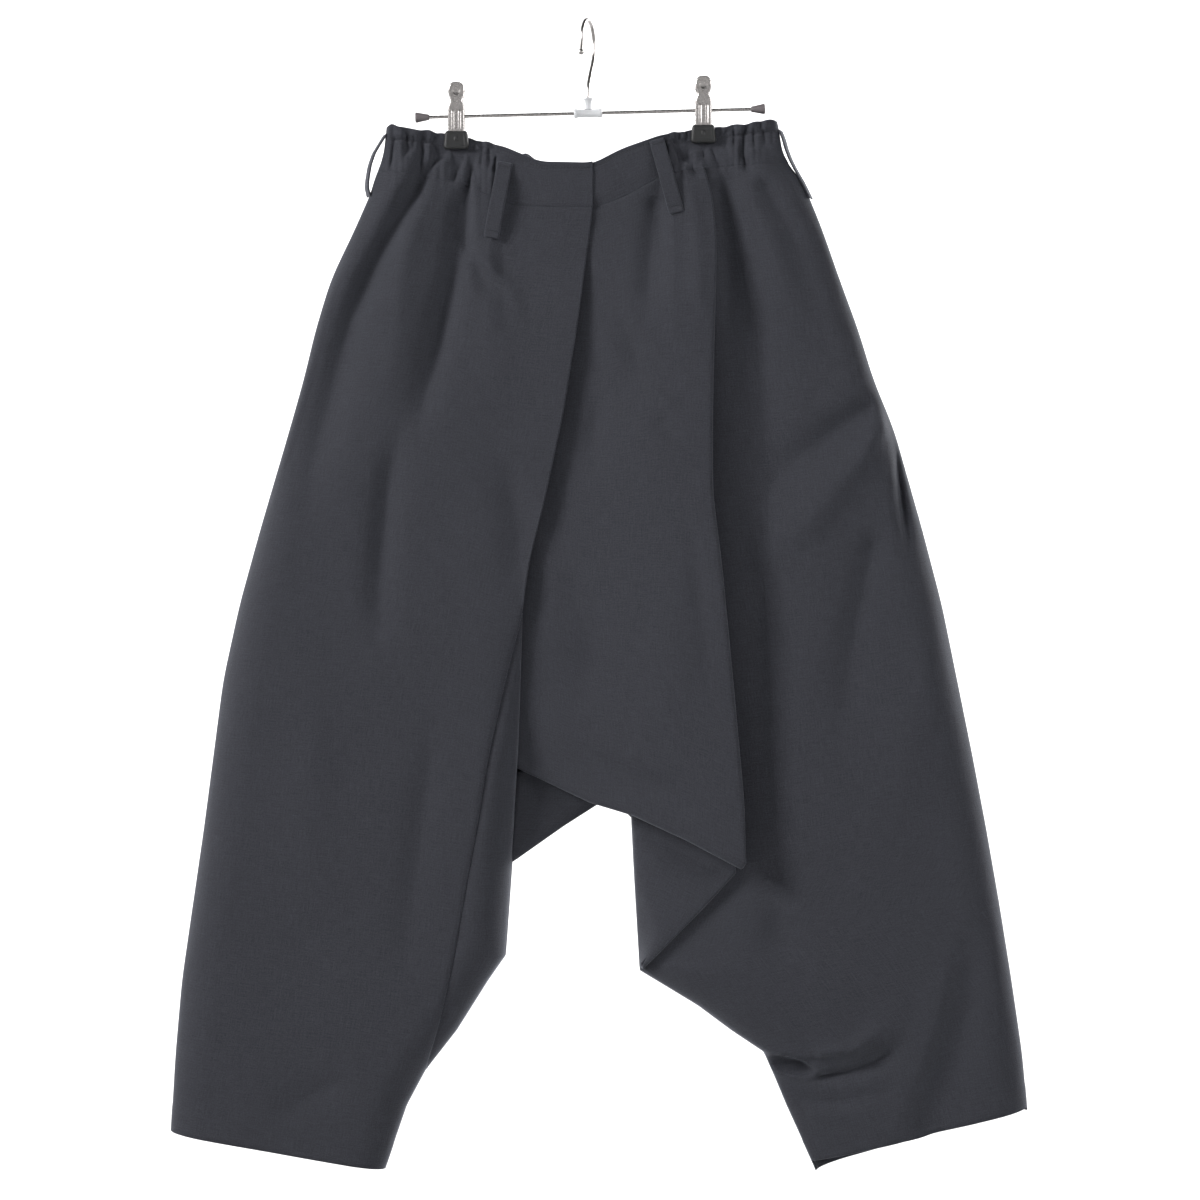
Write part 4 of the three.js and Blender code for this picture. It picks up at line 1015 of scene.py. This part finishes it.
gusset_z = np.linspace(-690, CROTCH_RIGHT_Z, 46)[:, None]
gusset_u = np.linspace(0, 1, 36)[None, :] ** 0.8
gusset_end = np.where(gusset_z > CROTCH_Z, CROTCH_MIDDLE_X, read(CROTCH_RIGHT, "z", "x", gusset_z))
gusset_start = read(RIGHT_INNER, "z", "x", gusset_z) + 0.2
gusset_x = mix(gusset_start, np.maximum(gusset_end, gusset_start + 0.9), gusset_u)
from_crotch = distance_to_line(gusset_x, gusset_z, line_of(CROTCH_RIGHT))
gusset_y = -MIDDLE_GAP - 4.5 * round_rise(from_crotch, 14)
gusset = np.stack([gusset_x, gusset_y, gusset_z + 0 * gusset_x], axis=-1)

for node, grid, front, flat, area in (
    ("front_right", front_right, True, (0.42, 0.93), 0.24),
    ("front_left", front_left, True, (0.44, 0.94), 0.225),
    ("back_right", back_right, False, (0.44, 0.93), 0.295),
    ("back_left", back_left, False, (0.44, 0.94), 0.27),
    ("front_centre", front_centre, True, (0.3, 0.66), 0.13),
    ("inner_right", inner_right, True, (0.08, 0.4), 0.017),
    ("inner_left", inner_left, True, (0.12, 0.15), 0.0105),
    ("gusset", gusset, True, (0.09, 0.08), 0.0038),
):
    wall = hem_wall(grid) if flat[1] > LEG_LENGTH else CLOTH_WALL
    finish_cloth(cloth(node + "_cloth", grid, front, wall), node)


# Waistbands: a wavy header above the stitching, gathers below it

BAND_ROWS = np.linspace(0, 1, 34)[:, None]
BAND_MIDDLE_Z = -115.0


def band_grid(x_from, x_to, count, top, depth):
    u = shares(count, 1.2)[None, :]

    def levels(x):
        return mix(top(x), band_bottom(x) + SEAM_PULL, BAND_ROWS)

    z = levels(mix(x_from(BAND_MIDDLE_Z), x_to(BAND_MIDDLE_Z), u))
    for _ in range(3):
        x = mix(x_from(z), x_to(z), u)
        z = levels(x)
    return np.stack([x, depth(x, z), z], axis=-1)


def left_band_y(x, z, v=BAND_ROWS):
    """Depth of the left front band; v runs from 0 at its top to 1 at its lower seam."""
    full = gathered(x, -FAR, FLAT_TO)
    relief = folds(x, z, LEFT_GATHERS) + waist_relief(x, z, full, LEFT_PHASE)
    upper = front_face(body_depth(x, z) + swell(x, z, full), relief * calm(x, z, EDGE_CALM))
    seam = band_bottom(x)
    below = mix(centre_y(x, seam), left_front_y(x, seam), smooth((x - pleat_x(seam) + 4) / 10))
    return mix(upper, below, smooth((v - 0.72) / 0.28))


def back_band_y(x, z):
    relief = back_gathers(x, z) + waist_relief(x, z, 1.0, BACK_PHASE)
    return back_face(body_depth(x, z) + BACK_SWELL * swell(x, z, 1.0), relief * calm(x, z, EDGE_CALM))


def wavy(x, size, shift):
    """The unlevel upper edge of the header."""
    return size * (np.sin(x / 4.1 + 1.4 * np.sin(x / 11.0 + shift)) - 0.3)


def front_band_top(x):
    corner = 3.2 * np.exp(-(((x + 180) / 4.5) ** 2)) + 1.6 * np.exp(-(((x - 168) / 5) ** 2))
    free = gathered(x, FLAT_FROM, FLAT_TO) * (1 - at_clips(x, 6))
    return band_top(x) + free * wavy(x, 0.8, 0.6) + corner


def left_band_top(x):
    return front_band_top(x) - 1


def back_band_top(x):
    lump = 8 * np.exp(-(((x + 55) / 9) ** 2)) + 3.5 * np.exp(-(((x - 158) / 8) ** 2))
    return band_top(x) - 2 + lump + (1 - at_clips(x, 6)) * wavy(x, 1.1, 2.2)


def level_at(x):
    return lambda z: x + 0 * z


right_band = band_grid(side_of("right"), level_at(BAND_END_X), 250, front_band_top, right_front_y)
left_band = band_grid(level_at(BAND_START_X), side_of("left"), 250, left_band_top, left_band_y)
back_band = band_grid(side_of("right"), side_of("left"), 420, back_band_top, back_band_y)
for node, grid, front, flat, area in (
    ("waistband_front_right", right_band, True, (0.26, 0.045), 0.0085),
    ("waistband_front_left", left_band, True, (0.26, 0.045), 0.0085),
    ("waistband_back", back_band, False, (0.5, 0.045), 0.0175),
):
    finish_cloth(cloth(node + "_cloth", grid, front), node)


# Belt loops

LOOP_HALF, LOOP_WALL = 6.4, 1.5
LOOP_RISE, LOOP_SEAT = 2.6, 1.3


def flat_loop(top, end, face, front):
    """A strip lying over the band, moved out from the cloth below it."""
    v = np.linspace(0, 1, 44)[:, None]
    u = np.linspace(-1, 1, 9)
    x1, z1 = top
    x2, z2 = end
    length = math.hypot(x2 - x1, z2 - z1)
    across = ((z1 - z2) / length, (x2 - x1) / length)
    x = mix(x1, x2, v) + across[0] * LOOP_HALF * u
    z = mix(z1, z2, v) + across[1] * LOOP_HALF * u
    sign = -1 if front else 1
    below = mix(x1, x2, v)[..., None] + u * LOOP_HALF
    skin = np.max(sign * face(below, z[..., None] + 0 * below), axis=-1)
    y = sign * (skin + LOOP_SEAT + LOOP_RISE * np.sin(math.pi * np.clip(v * 1.08, 0, 1)) ** 0.8)
    return np.stack([x, y, z], axis=-1)


def front_skin(x, z):
    seam = band_bottom(x)
    share = np.clip((band_top(x) - z) / (band_top(x) - seam), 0, 1)
    return np.where(z > seam, left_band_y(x, z, share), centre_y(x, z))


def ribbon(across, *points, samples=60):
    """A strip through given points, with one direction for its width."""
    keys = np.linspace(0, 1, len(points))
    at = np.linspace(0, 1, samples)
    path = np.stack([np.interp(at, keys, column) for column in np.array(points).T], axis=-1)
    for _ in range(6):
        path[1:-1] = (path[:-2] + 2 * path[1:-1] + path[2:]) / 4
    wide = unit(np.array(across)) * LOOP_HALF
    return path[:, None, :] + wide * np.linspace(-1, 1, 7)[:, None]


loop_grids = {
    "loop_front_right": (flat_loop((-76, -131), (-88.5, -200), right_front_y, True), True),
    "loop_front_left": (flat_loop((63, -110), (81, -177), front_skin, True), True),
    "loop_back": (flat_loop((20, -133), (22, -190), left_back_y, False), False),
    "loop_side_right": (
        ribbon(
            (-0.3, 1, 0), (-186.6, 0, -104), (-191.5, 0, -112), (-197, 0, -121), (-200.8, 0, -132),
            (-203, 0, -145), (-203.4, 0, -153), (-201.6, 0, -160.5),
        ),
        False,
    ),
    "loop_side_left": (
        ribbon(
            (0.3, 1, 0), (177, 0, -100), (180, 0, -107.5), (182.6, 0, -117), (186, 0, -126),
            (191, 0, -136), (197.8, 0, -147.5), (204.8, 0, -162),
        ),
        False,
    ),
}
for node, (grid, front) in loop_grids.items():
    finish_cloth(cloth(node + "_cloth", grid, front, LOOP_WALL), node)


# Sewing: running stitches laid along the header and the ends of the belt loops

STITCH_SIZES = {"Pitch": 0.0026, "Stitch Length": 0.0021, "Thread Radius": 0.00028, "Arch": 0.0006}
LENGTH_TO_PITCH = 0.8


def stitch_tree():
    """Arched stitches along lines, standing on the cloth's face."""
    tree = bpy.data.node_groups.new("running_stitch", "GeometryNodeTree")
    sockets = {}

    def given_socket(name, kind, value=None):
        socket = tree.interface.new_socket(name, in_out="INPUT", socket_type="NodeSocket" + kind)
        if value is not None:
            socket.default_value = value
        sockets[name] = socket.identifier

    def node(kind, *given, **values):
        return add_node(tree, kind, *given, **values)

    given_socket("Lines", "Geometry")
    for name, value in STITCH_SIZES.items():
        given_socket(name, "Float", value)
    given_socket("Thread", "Material")
    tree.interface.new_socket("Stitches", in_out="OUTPUT", socket_type="NodeSocketGeometry")

    given = node("NodeGroupInput").outputs
    lines = node("GeometryNodeMeshToCurve", given["Lines"]).outputs[0]
    spaced = node("GeometryNodeResampleCurve", mode="LENGTH", Curve=lines, Length=given["Pitch"])
    face = node("GeometryNodeInputNamedAttribute", data_type="FLOAT_VECTOR", Name="face")
    tangent = node("GeometryNodeInputTangent").outputs[0]
    turn = node(
        "FunctionNodeAxesToRotation", face.outputs["Attribute"], tangent,
        primary_axis="Z", secondary_axis="X",
    )

    half, back = (
        node("ShaderNodeMath", given["Stitch Length"], share, operation="MULTIPLY").outputs[0]
        for share in (0.5, -0.5)
    )
    start = node("ShaderNodeCombineXYZ", X=back).outputs[0]
    top = node("ShaderNodeCombineXYZ", Z=given["Arch"]).outputs[0]
    end = node("ShaderNodeCombineXYZ", X=half).outputs[0]
    arch = node("GeometryNodeCurveQuadraticBezier", Resolution=5, Start=start, Middle=top, End=end)
    ring = node("GeometryNodeCurvePrimitiveCircle", Resolution=6, Radius=given["Thread Radius"])
    thread = node(
        "GeometryNodeCurveToMesh", Curve=arch.outputs[0], Profile_Curve=ring.outputs[0], Fill_Caps=True,
    )

    laid = node(
        "GeometryNodeInstanceOnPoints", Points=spaced.outputs[0], Instance=thread.outputs[0],
        Rotation=turn.outputs[0],
    )
    real = node("GeometryNodeRealizeInstances", laid.outputs[0])
    coloured = node("GeometryNodeSetMaterial", Geometry=real.outputs[0], Material=given["Thread"])
    node("NodeGroupOutput", coloured.outputs[0])
    return tree, sockets


STITCH_TREE, STITCH_INPUTS = stitch_tree()


def on_face(x, z, face, sign):
    """Points just over a surface, with the direction away from it."""
    slope_x = (face(x + 0.4, z) - face(x - 0.4, z)) / 0.8
    slope_z = (face(x, z + 0.4) - face(x, z - 0.4)) / 0.8
    away = unit(np.stack([-sign * slope_x, sign * np.ones_like(slope_x), -sign * slope_z], axis=-1))
    return np.stack([x, face(x, z), z], axis=-1) + away * (CLOTH_WALL / 2), away


def stitches(name, lines, pitch):
    points, edges, away = [], [], []
    for place, direction in lines:
        first = len(points)
        points += place.tolist()
        away += direction.tolist()
        edges += [(first + k, first + k + 1) for k in range(len(place) - 1)]
    mesh = bpy.data.meshes.new(name + "_lines")
    mesh.from_pydata((np.array(points) * MM).tolist(), edges, [])
    mesh.attributes.new("face", "FLOAT_VECTOR", "POINT").data.foreach_set("vector", np.array(away).ravel())
    holder = bpy.data.objects.new(name + "_lines", mesh)
    bpy.context.scene.collection.objects.link(holder)
    sewing = holder.modifiers.new("sewing", "NODES")
    sewing.node_group = STITCH_TREE
    sizes = {**STITCH_SIZES, "Pitch": pitch, "Stitch Length": pitch * LENGTH_TO_PITCH, "Thread": THREAD}
    for key, value in sizes.items():
        sewing[STITCH_INPUTS[key]] = value
    seen = holder.evaluated_get(bpy.context.evaluated_depsgraph_get())
    plain = bpy.data.meshes.new_from_object(seen)
    holder.modifiers.clear()
    bpy.data.objects.remove(holder)
    piece = bpy.data.objects.new(name, plain)
    bpy.context.scene.collection.objects.link(piece)
    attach(piece, "root")


def left_band_face(x, z):
    share = np.clip((left_band_top(x) - z) / (left_band_top(x) - band_bottom(x)), 0, 1)
    return left_band_y(x, z, share)


def header_line(x_from, x_to, face):
    x = np.linspace(x_from, x_to, int((x_to - x_from) / 0.7))
    return on_face(x, header_stitch_z(x), face, -1)


def back_header_line():
    x = np.linspace(-183, 171, 520)
    return on_face(x, band_top(x) - GATHERED_HEADER, back_band_y, 1)


def bar_tack(name, share, inset=0.86):
    """A short line of close stitches across a belt loop."""
    grid, front = loop_grids[name]
    row = grid[int(share * (len(grid) - 1))]
    middle = row.mean(axis=0)
    row = middle + (row - middle) * inset
    away = np.broadcast_to((0.0, -1.0 if front else 1.0, 0.0), row.shape)
    return row + away * 0.78, away


stitches(
    "header_stitching",
    [header_line(-183, 1, right_front_y), header_line(9, 172, left_band_face), back_header_line()],
    STITCH_SIZES["Pitch"],
)
TACKED_LOOPS = ("loop_front_right", "loop_front_left", "loop_back")
stitches("loop_tacks", [bar_tack(name, share) for name in TACKED_LOOPS for share in (0.06, 0.93)], 0.0011)


# Hanger

ROD_START, ROD_END = Vector((-159, 0, -88)), Vector((163, 0, -80))
ROD_ALONG = (ROD_END - ROD_START).normalized()
ROD_RADIUS = 1.5
CAP_LENGTH, CAP_SOCKET = 13, 9
HOOK_TURN = math.radians(16)
HOOK_RADIUS, WIRE_RADIUS = 20, 1.75
HOOK_END, BALL_RADIUS = -22.4, 2.8
UPRIGHT = (0, 0, 1)


def rod_z(x):
    return mix(ROD_START.z, ROD_END.z, (x - ROD_START.x) / (ROD_END.x - ROD_START.x))


def turned(name, outline, origin, axis, segments=48):
    """A turned piece: an outline of radius and height, closed on itself or on the axis, about an axis."""
    outline = np.array(outline, float)
    axis = Vector(axis).normalized()
    side = axis.orthogonal().normalized()
    other = axis.cross(side)
    points, faces, rings = [], [], []
    for radius, height in outline:
        if radius < 1e-6:
            rings.append([len(points)])
            points.append(Vector(origin) + axis * height)
            continue
        ring = []
        for k in range(segments):
            angle = 2 * math.pi * k / segments
            ring.append(len(points))
            reach = side * math.cos(angle) + other * math.sin(angle)
            points.append(Vector(origin) + axis * height + reach * radius)
        rings.append(ring)
    closed = len(rings[0]) > 1
    pairs = list(zip(rings, rings[1:] + ([rings[0]] if closed else [])))
    for low, high in pairs if closed else pairs[:len(rings) - 1]:
        for k in range(segments):
            n = (k + 1) % segments
            corners = [low[k % len(low)], low[n % len(low)], high[n % len(high)], high[k % len(high)]]
            faces.append([c for i, c in enumerate(corners) if c not in corners[:i]])
    piece = mesh_object(name, [tuple(p) for p in points], faces)
    return outward(piece)


def with_bmesh(piece, change):
    """Changes a piece's mesh by a function of its bmesh."""
    solid = bmesh.new()
    solid.from_mesh(piece.data)
    change(solid)
    solid.to_mesh(piece.data)
    solid.free()
    return piece


def outward(piece):
    """Turns the faces of a closed piece outwards."""
    def turn_out(solid):
        bmesh.ops.remove_doubles(solid, verts=solid.verts, dist=1e-7)
        bmesh.ops.recalc_face_normals(solid, faces=solid.faces)

    return with_bmesh(piece, turn_out)


def sharp_by_angle(piece, degrees=38):
    """Keeps creases crisp where faces meet at more than an angle."""
    def sharpen(solid):
        for edge in solid.edges:
            if len(edge.link_faces) == 2 and edge.calc_face_angle(0) > math.radians(degrees):
                edge.smooth = False

    return with_bmesh(piece, sharpen)


def wire(name, path, radius, sides=20, samples=220):
    """A round wire along a smooth path, with rounded ends."""
    at = np.linspace(0, 1, samples)
    centre = np.stack([catmull(column, at) for column in np.array(path, float).T], axis=-1)
    tangent = unit(np.gradient(centre, axis=0))
    plane = unit(np.cross(tangent[len(tangent) // 2], (0, 0, 1.0)))
    points, faces = [], []
    rings = [(0, 0.35, -0.85), (0, 0.8, -0.5)] + [(k, 1.0, 0) for k in range(samples)]
    rings += [(samples - 1, 0.8, 0.5), (samples - 1, 0.35, 0.85)]
    for k, scale, push in rings:
        c = centre[k] + tangent[k] * push * radius
        second = unit(np.cross(tangent[k], plane))
        for s in range(sides):
            angle = 2 * math.pi * s / sides
            points.append(c + (plane * math.cos(angle) + second * math.sin(angle)) * radius * scale)
    last = (len(rings) - 1) * sides
    for low in range(0, last, sides):
        for s in range(sides):
            n = (s + 1) % sides
            faces.append([low + s, low + n, low + sides + n, low + sides + s])
    faces += [list(range(sides)), list(range(last, last + sides))]
    return outward(mesh_object(name, points, faces))


def catmull(values, at):
    """Smooth curve through evenly keyed values."""
    count = len(values)
    place = np.clip(at * (count - 1), 0, count - 1 - 1e-9)
    k = place.astype(int)
    t = place - k
    p = [values[np.clip(k + d, 0, count - 1)] for d in (-1, 0, 1, 2)]
    return 0.5 * (
        2 * p[1] + (p[2] - p[0]) * t + (2 * p[0] - 5 * p[1] + 4 * p[2] - p[3]) * t ** 2
        + (3 * p[1] - p[0] - 3 * p[2] + p[3]) * t ** 3
    )


half_rod = (ROD_END - ROD_START).length / 2 - (CAP_LENGTH - CAP_SOCKET) - 0.3
rod_half_outline = [(ROD_RADIUS, half_rod - 0.2), (ROD_RADIUS - 0.2, half_rod), (0, half_rod)]
rod = turned(
    "hanger_rod_wire", [(radius, -height) for radius, height in rod_half_outline[::-1]] + rod_half_outline,
    (ROD_START + ROD_END) / 2, ROD_ALONG, 32,
)
finish_part(sharp_by_angle(rod), STEEL, "steel", "hanger_rod")

CAP_OUTLINE = (
    (0, CAP_LENGTH), (3.4, CAP_LENGTH), (4.4, 12.7), (4.8, 12), (4.8, 11), (4.3, 9), (3.4, 4.5), (2.7, 0.4),
    (2.4, 0), (1.8, 0), (1.8, CAP_SOCKET), (0, CAP_SOCKET),
)
for side, end, toward in (("right", ROD_START, -ROD_ALONG), ("left", ROD_END, ROD_ALONG)):
    node = "hanger_cap_" + side
    cap = turned(node + "_moulding", CAP_OUTLINE, end - toward * CAP_LENGTH, toward)
    finish_part(sharp_by_angle(cap, 50), CAP, "grey_plastic", node)


def hook_place(reach, z):
    return (reach * math.sin(HOOK_TURN), reach * math.cos(HOOK_TURN), z)


hook_line = [(0, -76), (0, -66), (1.5, -58), (7, -48), (14, -38), (18.6, -29)]
for angle in math.pi * np.linspace(-0.06, 1.02, 9):
    height = WIRE_RADIUS - HOOK_RADIUS + HOOK_RADIUS * math.sin(angle)
    hook_line.append((HOOK_RADIUS * math.cos(angle), height))
hook_line.append((HOOK_END, -30))
hook = wire("hanger_hook_wire", [hook_place(*place) for place in hook_line], WIRE_RADIUS)
ball_outline = [(BALL_RADIUS * math.sin(a), -BALL_RADIUS * math.cos(a)) for a in np.linspace(0, math.pi, 15)]
ball = turned("hanger_hook_ball", ball_outline, hook_place(HOOK_END, -31), UPRIGHT, 28)
finish_part(hook, STEEL, "steel", "hanger_hook")
finish_part(ball, STEEL, "steel")

hub = turned(
    "hanger_hub_sleeve",
    [(1.8, -13), (3.6, -13), (4.2, -12.4), (4.2, -10), (3.7, -9.4), (3.7, 9.4), (4.2, 10), (4.2, 12.4),
     (3.6, 13), (1.8, 13)],
    (0, 0, rod_z(0)), ROD_ALONG,
)
boss = turned(
    "hanger_hub_boss",
    [(2.05, 3.4), (3.5, 3.4), (3.4, 9), (3.8, 12.2), (4.6, 12.8), (4.6, 13.8), (4.2, 14.1), (2.05, 14.1)],
    (0, 0, rod_z(0)), UPRIGHT,
)
finish_part(sharp_by_angle(hub, 50), CLEAR, "clear_plastic", "hanger_hub")
finish_part(sharp_by_angle(boss, 50), CLEAR, "clear_plastic")

# Clips: the outline of one plate from its head to its jaw, with its bend
PLATE_ROWS = table(
    "rise half y",
    (30.4, 2.2, 8.6), (29.8, 4.2, 8.6), (28.2, 6, 8.5), (25.8, 7.1, 8.4), (23, 7.4, 8.3), (20.2, 7, 8.1),
    (17.8, 5.9, 8), (15, 5.3, 7.8), (12.6, 5.5, 7.7), (10.6, 6.5, 7.5), (8.8, 7.3, 7.4), (6, 7.4, 7.2),
    (0, 7.4, 6.8), (-8, 7.4, 6.2), (-13, 7.4, 5.7), (-16, 7.8, 5.4), (-27, 8.2, 5.4),
)
RIB_X, RIB_TOP, RIB_END = 3.1, 4.5, -15
HEAD_DISH_RISE, PAD_BOSS_RISE = 23, -21
PLATE_WALL = 0.9
COILS, COIL_RADIUS, COIL_WIRE, COIL_CORE, COIL_HALF = 6, 5.9, 0.45, 1.8, 5.5


def clip_plate(x, level, side):
    """A stamped plate with rolled edges, two upright ribs and a dished head."""
    rise = np.concatenate([np.linspace(30.4, 24, 18), np.linspace(23.7, -16, 76)])[:, None]
    u = shares(36, 1.2)[None, :] * 2 - 1
    half = soft(PLATE_ROWS, "rise", "half", rise, 0.8)
    away = soft(PLATE_ROWS, "rise", "y", rise, 1.5)
    px = half * u
    rib = np.exp(-(((np.abs(px) - RIB_X) / 1.1) ** 2))
    rib = rib * smooth((RIB_TOP - rise) / 4 + 0.5) * smooth((rise - RIB_END) / 3)
    hollow = np.exp(-((np.hypot(px, rise - HEAD_DISH_RISE) / 3.6) ** 4)) * 0.9
    lip = -0.9 * smooth((np.abs(u) - 0.86) / 0.14)
    y = away + 0.8 * rib - hollow + lip
    return np.stack([x + px, side * y, level + rise + 0 * px], axis=-1)


def clip_pad(x, level, side):
    """A rubber boot over the jaw, wider at its lower edge, with a moulded frame and a small boss."""
    v = shares(26, 1.3)[:, None]
    u = shares(30, 1.3)[None, :] * 2 - 1
    rounded = 1 - 0.12 * smooth((np.abs(v - 0.5) * 2 - 0.7) / 0.3) ** 2
    px = mix(9.2, 10.9, v) * u * rounded
    rise = mix(-15, -29.4, v) + 0 * u
    edge = np.maximum(np.abs(u), np.abs(2 * v - 1))
    frame_line = 0.5 * np.exp(-(((edge - 0.84) / 0.09) ** 2))
    boss_dot = 0.9 * np.exp(-((np.hypot(px, rise - PAD_BOSS_RISE) / 1.3) ** 4))
    thick = 5.2 - 1.9 * smooth((edge - 0.86) / 0.14) + frame_line + boss_dot
    y = PINCH + 0.7 + thick / 2
    return np.stack([x + px, side * y, level + rise], axis=-1), thick


def coil_outline():
    """Outline of the spring: six coils of wire round a core."""
    outline = [(COIL_CORE, -COIL_HALF)]
    for k in range(COILS):
        for t in (0.05, 0.25, 0.5, 0.75, 0.95):
            bulge = COIL_WIRE * math.cos(math.pi * (t - 0.5)) - COIL_WIRE
            outline.append((COIL_RADIUS + bulge, -COIL_HALF + (k + t) * 2 * COIL_HALF / COILS))
    return outline + [(COIL_CORE, COIL_HALF)]


for name, x in zip(("clip_right", "clip_left"), CLIP_X):
    level = rod_z(x)
    for face, side in (("front", -1), ("back", 1)):
        plate = cloth(f"{name}_{face}_plate", clip_plate(x, level, side), side < 0, PLATE_WALL)
        finish_part(plate, STEEL, "steel", f"{name}_{face}")
        middle, thick = clip_pad(x, level, side)
        pad = cloth(f"{name}_pad_{face}_rubber", middle, side < 0, thick)
        finish_part(pad, RUBBER, "rubber", f"{name}_pad_{face}")
    spring = turned(f"{name}_spring_coils", coil_outline(), (x, 0, level), ROD_ALONG, 32)
    finish_part(spring, STEEL, "steel", f"{name}_spring")


# Stage, lights and camera

PIXEL = 0.92 * MM
FRAME_PIXELS = 1200
SEAT_PIXEL = (588, 22)
EYE_DISTANCE = 3.0
FLOOR_Z = -4.6
WALL_RADIUS = 6.5
COVE_RADIUS = 2.2
WALL_HEIGHT = 8.0
WORLD_STRENGTH = 0.12
LIGHTS = (
    ("key", (-2.9, -1.55, 1.0), (0, 0, -0.55), 1.0, 132),
    ("fill", (2.9, -1.7, 0.5), (0, 0, -0.6), 1.2, 42),
    ("back_key", (2.7, 1.9, 1.0), (0, 0, -0.55), 1.0, 150),
    ("back_fill", (-2.9, 1.6, 0.5), (0, 0, -0.6), 1.2, 40),
    ("backdrop_left", (-2.0, 2.4, 1.8), (-0.9, 6.3, -1.2), 2.0, 290),
    ("backdrop_right", (2.0, 2.4, 1.8), (0.9, 6.3, -1.2), 2.0, 290),
)


def stage():
    """A pale round floor that curves up into a wall."""
    profile = [(0, 0), (1.5, 0), (3, 0)]
    for t in np.linspace(0, math.pi / 2, 13):
        profile.append((WALL_RADIUS - COVE_RADIUS * (1 - math.sin(t)), COVE_RADIUS * (1 - math.cos(t))))
    profile.append((WALL_RADIUS, WALL_HEIGHT))
    outline = [(radius / MM, height / MM) for radius, height in profile]
    floor = turned("studio_floor", outline, (0, 0, FLOOR_Z / MM), UPRIGHT, 96)
    made = Finish("pale_floor")
    made.two_tone(made.object_noise(3.0, 2.0), (0.7, 0.7, 0.7), (0.74, 0.74, 0.74))
    made.values(Roughness=0.9)
    floor.data.materials.append(made.material)


def area_light(name, place, toward, size, power):
    light = bpy.data.lights.new(name, "AREA")
    light.shape = "SQUARE"
    light.size = size
    light.energy = power
    lamp = bpy.data.objects.new(name, light)
    lamp.location = place
    lamp.rotation_euler = (Vector(toward) - Vector(place)).to_track_quat("-Z", "Y").to_euler()
    lamp.visible_camera = False
    bpy.context.scene.collection.objects.link(lamp)


def lights():
    scene = bpy.context.scene
    world = bpy.data.worlds.new("studio")
    world.use_nodes = True
    sky = next(n for n in world.node_tree.nodes if n.type == "BACKGROUND")
    sky.inputs["Color"].default_value = (1, 1, 1, 1)
    sky.inputs["Strength"].default_value = WORLD_STRENGTH
    scene.world = world
    scene.view_settings.view_transform = "Standard"
    for lamp in LIGHTS:
        area_light(*lamp)


def camera():
    eye = bpy.data.cameras.new("eye")
    eye.sensor_width = 36
    eye.lens = eye.sensor_width * EYE_DISTANCE / (FRAME_PIXELS * PIXEL)
    eye.clip_end = 50
    holder = bpy.data.objects.new("eye", eye)
    right, down = ((FRAME_PIXELS / 2 - seat) * PIXEL for seat in SEAT_PIXEL)
    holder.location = (right, -EYE_DISTANCE, -down)
    holder.rotation_euler = (math.pi / 2, 0, 0)
    bpy.context.scene.collection.objects.link(holder)
    bpy.context.scene.camera = holder


stage()
lights()
camera()
